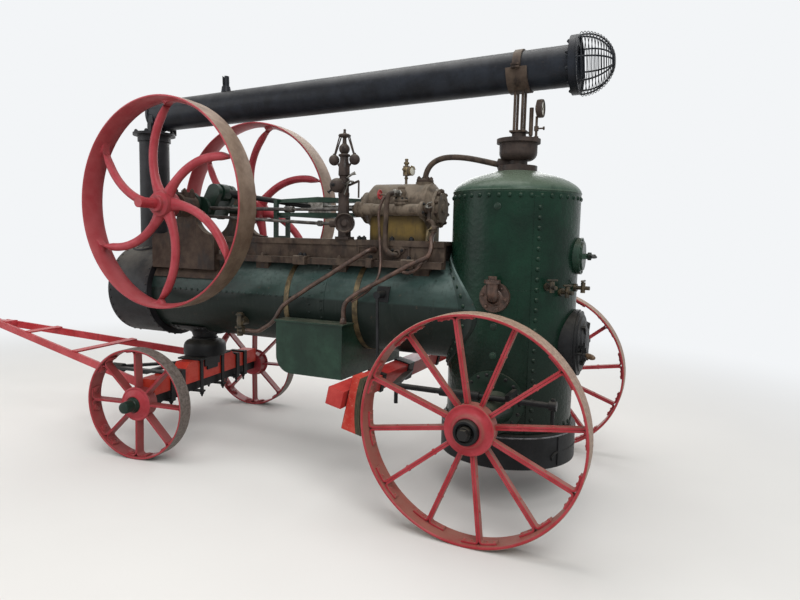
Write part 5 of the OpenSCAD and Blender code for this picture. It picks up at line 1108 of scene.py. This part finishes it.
def governor():
    """Two-ball governor: a flanged drum, a round pot, balls hung on double links, a crown and its levers."""
    x, y, base = 1.136, 0.265, 1.991
    drum = [(0.0135, 0), (0.030, 0), (0.031, 0.012), (0.038, 0.018), (0.0385, 0.026), (0.0375, 0.060), (0.036, 0.096),
            (0.032, 0.103), (0.029, 0.108), (0.0285, 0.138), (0.037, 0.144), (0.040, 0.149), (0.038, 0.156),
            (0.026, 0.160)]
    bulge = [math.radians(a) for a in range(-58, 61, 10)]
    drum += [(0.036 * math.cos(a), 0.191 + 0.036 * math.sin(a)) for a in bulge]
    drum += [(0.016, 0.226), (0.014, 0.232), (0.0125, 0.262), (0.020, 0.268), (0.036, 0.271), (0.039, 0.276),
             (0.039, 0.283), (0.034, 0.288), (0.014, 0.292), (0.0085, 0.300), (0.0085, 0.312), (0.010, 0.316),
             (0.006, 0.321), (0.001, 0.322)]
    collar = [(0.012, 0), (0.012, 0.008), (0.008, 0.014), (0.001, 0.014)]
    pin = [(0.001, 0), (0.008, 0), (0.008, 0.036), (0.001, 0.036)]
    shapes = [fitting((x, y, base), UP, drum, 40)]
    for s in (-1, 1):
        shapes.append(ball((x + s * 0.078, y, base + 0.121), 0.036))
        shapes.append(fitting((x + s * 0.078, y, base + 0.150), (-s * 0.28, 0, 1), collar, 14))
        for side in (-0.012, 0.012):
            link = [at(x + s * 0.074, y + side * 0.5, base + 0.152), at(x + s * 0.030, y + side, base + 0.279)]
            shapes.append(swept(link, 0.0045, 8))
        shapes.append(swept([at(x + s * 0.058, y, base + 0.108), at(x + s * 0.026, y, base + 0.062)], 0.0060, 8))
        shapes.append(fitting((x + s * 0.030, y - 0.018, base + 0.279), LEFT, pin, 12))
    made = piece("governor_head_turned", together(*shapes), "governor_head", "dark_brown", 35)
    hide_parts("governor_head")
    screw = [(0.012, 0), (0.012, 0.010), (0.006, 0.012), (0.006, 0.026), (0.001, 0.027)]
    knob = [(0.007, 0), (0.007, 0.022), (0.012, 0.024), (0.012, 0.032), (0.001, 0.034)]
    weight = [fitting((x + 0.010, y + 0.120, 1.938), LEFT, screw, 14),
              fitting((x + 0.043, y + 0.084, 1.911), (0.7, 0.2, -0.6), knob, 12)]
    piece("governor_weight_screw", together(*weight), "engine", "black", 40)
    # the levers' places, given from the column's axis, with their radii
    levers = [([(-0.036, 0.022, 1.990), (-0.075, 0.030, 2.012), (-0.100, 0.022, 2.022)], [0.006, 0.008, 0.013], 10),
              ([(-0.030, 0.034, 1.946), (-0.062, 0.030, 1.968), (-0.086, 0.026, 1.962)], [0.006, 0.0075, 0.009], 10),
              ([(-0.024, 0.036, 1.880), (-0.046, 0.034, 1.944), (-0.060, 0.030, 1.962)], 0.005, 8)]
    links = [swept([at(x + dx, y + dy, z) for dx, dy, z in path], radii, sides) for path, radii, sides in levers]
    piece("governor_links", together(*links), "engine", "steel", 40)
    pulley = [(0.014, -0.020), (0.050, -0.022), (0.062, -0.024), (0.066, -0.018), (0.066, 0.020), (0.062, 0.024),
              (0.057, 0.022), (0.050, 0.004), (0.030, -0.002), (0.018, 0.004), (0.018, 0.022), (0.001, 0.024)]
    turned_pulley = fitting((x - 0.039, y + 0.052, 1.692), (-0.35, 1, 0), pulley, 40)
    piece("governor_pulley", turned_pulley, "engine", "dark_brown", 35)


def cylinder_dressing():
    """The cylinder's back cover and its ring, the nuts of its steam flange and feet, and the bed's side panel."""
    ring = [(0.1665, -0.012), (0.168, -0.006), (0.168, 0.002), (0.163, 0.010), (0.150, 0.018), (0.128, 0.052)]
    cover = [(0.128, -0.020), (0.1285, -0.004), (0.126, 0.0), (0.103, 0.0015), (0.102, 0.012), (0.097, 0.017),
             (0.060, 0.018), (0.056, 0.013), (0.030, 0.012), (0.028, 0.020), (0.001, 0.021)]
    shapes = [fitting((0.618, 0, CYLINDER_Z), BACK, ring, 64),
              fitting((CYLINDER_BACK, 0, CYLINDER_Z), BACK, cover, 56)]
    piece("cylinder_back_cover", together(*shapes), "engine", "grey_brown", 30)
    steam = ring_spots(at(STEAM_X, 0, STEAM_SEAT + 0.016), UP, 0.044, 4, 0.78)
    stamped("steam_flange_nuts", bolt(0.024, 0.018), steam, "engine", "brown")
    pads = [placed(bolt(0.030, 0.020), facing(at(x, 0.205, BED_TOP), UP, 0.3)) for x in (0.66, 0.80, 1.01, 1.045)]
    piece("cylinder_foot_nuts", together(*pads), "engine", "black", 45)
    panel = []
    for x0, x1, y, z0, z1 in ((0.648, 0.660, 0.2575, 1.440, 1.545), (1.018, 1.030, 0.2575, 1.440, 1.545),
                              (0.648, 1.030, 0.2570, 1.454, 1.466), (0.648, 1.030, 0.2570, 1.533, 1.545)):
        panel.append(slab(at(x0, BED_HALF - 0.0002, z0), at(x1, y, z1)))
    piece("bed_side_panel", together(*panel), "engine", "brown", 30)


def firebox_dome():
    """Upper shell with its lap and the pressed head: a tight knuckle, a caulked seam and a pad under the valve."""
    seam, top, foot = SHELL_SEAM, 0.139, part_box("firebox_crown")[0][2]
    profile = [(SHELL_R - 0.020, foot), (SHELL_R, foot), (SHELL_R, seam - 0.004), (SHELL_R + 0.0035, seam - 0.002),
               (SHELL_R + 0.0035, seam + 0.004), (SHELL_R, seam + 0.006)]
    for k in range(1, 25):
        rho = math.cos(math.radians(90 * k / 25)) ** 0.75
        profile.append((SHELL_R * rho, seam + 0.006 + (top - 0.006) * (1 - rho * rho) ** 0.6))
    pad = [(0.146, 2.0295), (0.122, 2.0335), (0.080, 2.0385), (0.001, 2.0385)]
    middle = Matrix.Translation(at(SHELL_X, 0, 0))
    lid = placed(turned([p for p in profile if p[0] > 0.150] + pad, 96), middle)
    lap = [(SHELL_R - 0.006, foot), (SHELL_R + 0.003, foot), (SHELL_R + 0.004, foot + 0.001),
           (SHELL_R + 0.004, seam - 0.037), (SHELL_R + 0.003, seam - 0.036), (SHELL_R - 0.006, seam - 0.036)]
    band = turned(lap, 10, math.radians(119.5), math.radians(7))
    ends = [tuple(range(6)), tuple(60 + k for k in reversed(range(6)))]
    strip = placed((band[0], band[1] + ends), middle)
    made = piece("firebox_dome_pressed", together(lid, strip), "engine", "firebox", 40)
    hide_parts("firebox_crown")
    plugs = [(at(SHELL_X + SHELL_R * math.cos(a), SHELL_R * math.sin(a), z), Vector((math.cos(a), math.sin(a), 0)))
             for a, z in ((math.radians(89.1), 1.798), (math.radians(89.6), 1.094), (math.radians(89.9), 0.921))]
    cup = turned([(0.021, -0.003), (0.021, 0.002), (0.018, 0.004), (0.011, 0.004), (0.010, 0.009), (0.001, 0.010)], 20)
    stamped("firebox_plugs", cup, plugs, "engine", "green")


def gauge_dial():
    """White dial inside the gauge's rim, facing back, with a small pointer."""
    x, z = -0.1095, 2.416
    face = [(0.0455, 0), (0.0455, 0.0015), (0.001, 0.002)]
    piece("gauge_face", fitting((x, 0, z), BACK, face, 40), "engine", "dial", 60)
    rim = [(0.0455, 0.000), (0.0455, 0.006), (0.049, 0.009), (0.053, 0.008), (0.0555, 0.003), (0.0555, -0.020)]
    piece("gauge_rim", fitting((x, 0, z), BACK, rim, 48), "engine", "dark_brown", 40)
    needle = [at(x - 0.003, 0.004, z - 0.012), at(x - 0.003, -0.018, z + 0.026)]
    hand = [flat_bar(needle, (0, 0.9, 0.5), 0.0012, 0.0035, 0.0004),
            fitting((x - 0.0015, 0, z), BACK, [(0.0045, 0), (0.0045, 0.0025), (0.001, 0.003)], 12)]
    piece("gauge_pointer", together(*hand), "engine", "black", 40)


def fore_carriage():
    """Turntable drum on its top plate, the straps that tie the beam and the axle to it, and the saddle's rivets."""
    drum = [(0.040, 0.6135), (0.160, 0.6135), (0.167, 0.620), (0.169, 0.650), (0.167, 0.692), (0.160, 0.712),
            (0.146, 0.727), (0.128, 0.735), (0.110, 0.740), (0.104, 0.747), (0.104, 0.7555), (0.040, 0.7555)]
    plate = steered_slab(-0.105, 0.105, -0.215, 0.215, 0.6005, 0.6138)
    shapes = [plate, placed(turned(drum, 56), Matrix.Translation(steered(0, 0, 0)))]
    made = piece("turntable_drum", together(*shapes), "fore_carriage", "black", 40)
    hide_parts("turntable")
    end = turned([(0.010, 0.330), (0.010, 0.306), (0.006, 0.297), (0.001, 0.293)], 12)
    nut = placed(bolt(0.030, 0.018), Matrix.Translation((0, 0, 0.333)) @ Matrix.Rotation(math.pi, 4, "X"))
    straps = []
    for o in (-0.146, 0.146):
        for s in (-0.0695, 0.0695):
            straps.append(steered_slab(s - 0.006, s + 0.006, o - 0.017, o + 0.017, 0.345, 0.6135))
            straps.append(placed(together(end, nut), Matrix.Translation(steered(s, o, 0))))
        straps.append(steered_slab(-0.088, 0.088, o - 0.022, o + 0.022, 0.334, 0.347))
    straps.append(steered_slab(-0.0755, -0.0630, -0.100, 0.105, 0.530, 0.6010))
    straps.append(steered_slab(-0.0750, -0.0630, -0.070, 0.072, 0.500, 0.532))
    piece("beam_strap_bolts", together(*straps), "fore_carriage", "black", 30)
    ends = []
    for o in (-0.500, -0.380, 0.380, 0.500):
        for s in (-0.050, 0.050):
            ends.append((steered(s, o, 0.338), Vector((0, 0, -1))))
    tip = together(bolt(0.024, 0.014), turned([(0.008, 0.010), (0.008, 0.038), (0.001, 0.046)], 10))
    stamped("axle_strap_nuts", tip, ends, "fore_carriage", "black")
    heads, out = [], BARREL_R + 0.0152
    for dx in (-0.155, -0.105, 0.105, 0.155):
        for a in (-34, -20, -7, 7, 20, 34):
            c, s = math.cos(math.radians(180 + a)), math.sin(math.radians(180 + a))
            heads.append((at(KING_X + dx, out * s, BARREL_Z + out * c), Vector((0, s, c))))
    stamped("saddle_rivets", rivet(0.0105), heads, "engine", "black")


def chimney_end_nuts():
    """Nuts round the chimney's end ring, under the spark cage."""
    spots = ring_spots(on_chimney(-0.281), -CHIMNEY_WAY, 0.148, 10, 0.3)
    stamped("chimney_end_nuts", bolt(0.022, 0.014), spots, "chimney", "chimney")


def mud_hole():
    """Nuts and rim of the mud-hole flange on the firebox's side."""
    nuts = ring_spots(at(SHELL_X, 0.4232, MUD_HOLE_Z), LEFT, 0.070, 6, 0.35)
    stamped("mud_hole_nuts", bolt(0.020, 0.013), nuts, "engine", "copper")
    rim = [(0.0865, -0.004), (0.089, 0.000), (0.087, 0.0035), (0.080, 0.0040), (0.052, 0.0042), (0.048, 0.008),
           (0.036, 0.010), (0.036, 0.010), (0.0365, 0.030), (0.034, 0.034)]
    piece("mud_hole_rim", fitting((SHELL_X, 0.4230, MUD_HOLE_Z), LEFT, rim, 48), "engine", "copper", 35)


def manhole():
    """The manhole's bridge with its nut, and the rivets of its ring."""
    bridge = [at(-0.452, -0.060, MANHOLE_Z), at(-0.470, 0, MANHOLE_Z), at(-0.452, 0.060, MANHOLE_Z)]
    shapes = [fitting((-0.4280, 0, MANHOLE_Z), BACK, hexagon(0.044, 0.0, 0.020), 6),
              swept(bridge, [0.010, 0.014, 0.010], 10, 0.6)]
    piece("manhole_bridge_nut", together(*shapes), "engine", "black", 35)
    studs = ring_spots(at(-0.394, 0, MANHOLE_Z), BACK, 0.099, 8, 0.2)
    stamped("manhole_ring_rivets", rivet(0.008), studs, "engine", "green")


def fire_door():
    """The fire door's wooden grip, its latch and the beads on its face."""
    handle = [(0.006, 0.0), (0.006, 0.030), (0.010, 0.034), (0.015, 0.048), (0.0175, 0.078), (0.016, 0.108),
              (0.011, 0.128), (0.001, 0.134)]
    grip = fitting((-0.4560, 0.160, FIRE_DOOR_Z - 0.040), (-0.55, 0.84, 0.02), handle, 24)
    piece("fire_door_grip", grip, "fire_door", "grip", 40)
    latch = [slab(at(-0.470, 0.150, FIRE_DOOR_Z - 0.080), at(-0.446, 0.174, FIRE_DOOR_Z)),
             slab(at(-0.462, 0.155, FIRE_DOOR_Z - 0.004), at(-0.448, 0.169, FIRE_DOOR_Z + 0.030))]
    piece("fire_door_latch", together(*latch), "fire_door", "black", 30)
    rings = []
    for r, out in ((0.168, 0.012), (0.130, 0.026), (0.088, 0.038)):
        bead = [(r + 0.010, out - 0.012), (r + 0.007, out + 0.001), (r, out + 0.004), (r - 0.007, out + 0.003),
                (r - 0.012, out - 0.002)]
        rings.append(fitting((-0.4095, 0, FIRE_DOOR_Z), BACK, bead, 56))
    piece("fire_door_beads", together(*rings), "fire_door", "black", 40)


def ash_pan_irons():
    """The edge, the slot and the hook of the ash pan's door, and the pan's lip in paler iron."""
    middle = Matrix.Translation(at(SHELL_X, 0, 0))
    shapes = []
    # degrees round the pan, heights, how far the strip stands out and its steps
    for first, last, low, high, out, steps in ((149.0, 150.8, 0.262, 0.432, 0.006, 3),
                                               (157.0, 189.0, 0.3395, 0.3425, 0.002, 16)):
        inner, outer = ASH_PAN_R - 0.004, ASH_PAN_R + out
        strip = turned([(inner, low), (outer, low), (outer, high), (inner, high)], steps,
                       math.radians(first), math.radians(last - first))
        ends = [(0, 1, 2, 3), tuple(4 * steps + k for k in (3, 2, 1, 0))]
        shapes.append(placed((strip[0], strip[1] + ends), middle))
    hook, reach = [], ASH_PAN_R + 0.004
    for turn, z in ((0.070, 0.345), (0.020, 0.338), (-0.030, 0.318), (-0.020, 0.296)):
        turn += math.radians(144.5)
        hook.append(at(SHELL_X + reach * math.cos(turn), reach * math.sin(turn), z))
    shapes.append(swept(hook, [0.006, 0.007, 0.006, 0.004], 8))
    piece("ash_pan_door_fittings", together(*shapes), "engine", "black", 40)
    # the pan's lip in a paler bare iron than the pan itself
    lip = [(0.4295, 0.437), (0.4325, 0.439), (0.4325, 0.445), (0.4300, 0.4475), (0.4240, 0.4475)]
    piece("ash_pan_lip", placed(turned(lip, 96), middle), "engine", "worn_iron", 40)


def foot_clamps():
    """Hooked clamps with one bolt that lie over the edge of the bed's foot."""
    # (out from the centre plane, above the foot)
    outline = [(0.258, -0.0005), (0.258, 0.009), (0.268, 0.013), (0.304, 0.013), (0.315, 0.006), (0.320, -0.010),
               (0.316, -0.050), (0.3003, -0.050), (0.3003, -0.0005)]
    count = len(outline)
    shapes, bolts = [], []
    for side in (1, -1):
        for x in (0.640, 1.465):
            points = [at(x + end, side * y, BED_FOOT + up) for end in (-0.045, 0.045) for y, up in outline]
            faces = [tuple(range(count))[::-1], tuple(range(count, 2 * count))]
            faces += [(k, (k + 1) % count, (k + 1) % count + count, k + count) for k in range(count)]
            shapes.append((points, [face if side > 0 else face[::-1] for face in faces]))
            bolts.append((at(x, side * 0.285, BED_FOOT + 0.013), UP))
    piece("bed_foot_clamps", together(*shapes), "engine", "brown", 30)
    stamped("bed_foot_clamp_bolts", bolt(0.026, 0.016), bolts, "engine", "black")


def steam_pipe():
    """The main steam pipe in one easy sweep from its flange on the cylinder over to the dome's valve."""
    end_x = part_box("steam_pipe")[0][0] - AXLE_X
    foot, top = STEAM_SEAT + 0.004, 2.140
    rise = bowed(((STEAM_X, 0, foot), (STEAM_X, 0, foot + 0.100), (0.600, 0, top), (0.480, 0, top)), 14)
    fall = bowed(((0.480, 0, top), (0.360, 0, top), (0.250, 0, 2.104), (end_x, 0, 2.084)), 14)
    flange = [(0.001, 0), (0.057, 0), (0.058, 0.001), (0.058, 0.013), (0.055, 0.016), (0.028, 0.016),
              (0.026, 0.022), (0.020, 0.027)]
    shapes = [swept(rise + fall[1:], 0.019, 20), fitting((STEAM_X, 0, STEAM_SEAT + 0.0003), UP, flange, 36)]
    made = piece("steam_pipe_bent", together(*shapes), "engine", "brown", 40)
    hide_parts("steam_pipe")


def band_lugs():
    """The lugs that draw the bands tight on the barrel, each with its bolt."""
    lugs, bolts = [], []
    for x in (0.905, 1.421):
        lugs.append(together(slab(at(x - 0.026, 0.262, BED_FOOT + 0.0005), at(x + 0.026, 0.332, BED_FOOT + 0.012)),
                             slab(at(x - 0.020, 0.300, BED_FOOT - 0.049), at(x + 0.020, 0.336, BED_FOOT + 0.002))))
        bolts.append((at(x, 0.300, BED_FOOT + 0.012), UP))
    piece("band_lugs", together(*lugs), "engine", "brown", 30)
    stamped("band_lug_bolts", bolt(0.024, 0.016), bolts, "engine", "black")


def seen(tree):
    """1 for rays from the camera, a mirror or a glass, 0 for those that only light the scene."""
    path = add(tree, "LightPath")
    mirrored = {0: path["Is Glossy Ray"], 1: path["Is Transmission Ray"]}
    mirrored = add(tree, "Math", {"operation": "MAXIMUM"}, mirrored)[0]
    return add(tree, "Math", {"operation": "MAXIMUM"}, {0: path["Is Camera Ray"], 1: mirrored})[0]


def lay_floor():
    """A pale matt floor that fades into the backdrop away from the engine."""
    size = 60
    mesh = bpy.data.meshes.new("floor")
    mesh.from_pydata([(-size, -size, 0), (size, -size, 0), (size, size, 0), (-size, size, 0)], [], [(0, 1, 2, 3)])
    floor = bpy.data.objects.new("floor", mesh)
    bpy.context.scene.collection.objects.link(floor)
    made, tree, shader = blank("studio_floor")
    tone = speckle(tree, 0.8, 2)
    join(tree, shader, coat(tree, "#dcdad6", "#e2e0dc", tone), span(tone, 0, 1, 0.8, 0.9), specular=0.2)
    away = add(tree, "VectorMath", {"operation": "LENGTH"}, {0: add(tree, "TexCoord")["Object"]})["Value"]
    far = add(tree, "MapRange", SMOOTH, span(away, 3.0, 7.5, 0, seen(tree)))["Result"]
    pale = add(tree, "Emission", None, {"Color": linear(BACKDROP), "Strength": 1.0})["Emission"]
    both = add(tree, "MixShader", None, {0: far, 1: shader.outputs[0], 2: pale})["Shader"]
    tree.links.new(both, tree.nodes["Material Output"].inputs["Surface"])
    mesh.materials.append(made)


def light_scene():
    """A backdrop that the camera sees brighter than it lights, and four broad lamps aimed at the engine."""
    world = bpy.data.worlds.new("studio")
    bpy.context.scene.world = world
    world.use_nodes = True
    tree = world.node_tree
    tree.nodes.clear()
    glow = add(tree, "MapRange", SMOOTH, span(seen(tree), 0.0, 1.0, 0.36, 1.0))["Result"]
    shade = add(tree, "Background", None, {"Color": linear(BACKDROP), "Strength": glow})["Background"]
    add(tree, "OutputWorld", None, {"Surface": shade})
    # name, place, width in metres and power in watts
    lamps = (("key_soft", (-5.0, 5.5, 7.0), 5.0, 430), ("fill_soft", (5.5, 5.0, 3.5), 5.0, 150),
             ("top_soft", (0, 0, 7.5), 6.0, 330), ("back_soft", (1.0, -7.0, 4.5), 5.0, 190))
    for name, spot, width, power in lamps:
        lamp = bpy.data.lights.new(name, "AREA")
        lamp.size = width
        lamp.energy = power
        holder = bpy.data.objects.new(name, lamp)
        holder.location = spot
        aim = Vector((0, 0, 1.2)) - Vector(spot)
        holder.rotation_euler = aim.to_track_quat("-Z", "Y").to_euler()
        bpy.context.scene.collection.objects.link(holder)


def camera():
    """The photograph's camera at eye height, tipped down by 5.7 degrees and rolled by 1.3."""
    eye = at(-0.9643, 3.8857, 1.600)
    yaw, pitch, roll = 0.4318, 0.100, 0.0228
    ahead = Vector((math.sin(yaw) * math.cos(pitch), -math.cos(yaw) * math.cos(pitch), -math.sin(pitch)))
    right = ahead.cross(UP).normalized()
    over = right.cross(ahead)
    side = right * math.cos(roll) + over * math.sin(roll)
    top = over * math.cos(roll) - right * math.sin(roll)
    lens = bpy.data.cameras.new("photo_camera")
    lens.sensor_width = 36
    lens.lens = 27.65
    holder = bpy.data.objects.new("photo_camera", lens)
    stand = Matrix((side, top, -ahead)).transposed().to_4x4()
    holder.matrix_world = Matrix.Translation(eye) @ stand
    bpy.context.scene.collection.objects.link(holder)
    bpy.context.scene.camera = holder


finish_nodes()
firebox_rivets()
barrel_rivets()
smokebox_rivets()
chimney_bolts()
flywheel(1)
flywheel(-1)
for side in (1, -1):
    rear_wheel(side)
    front_wheel(side)
engine_bolts()
valve_chest()
feed_pipe_runs()
drain_cocks()
lubricator()
governor()
cylinder_dressing()
firebox_dome()
gauge_dial()
fore_carriage()
chimney_end_nuts()
mud_hole()
manhole()
fire_door()
ash_pan_irons()
band_lugs()
steam_pipe()
foot_clamps()
lay_floor()
light_scene()
camera()
bpy.context.scene.view_settings.view_transform = "Standard"
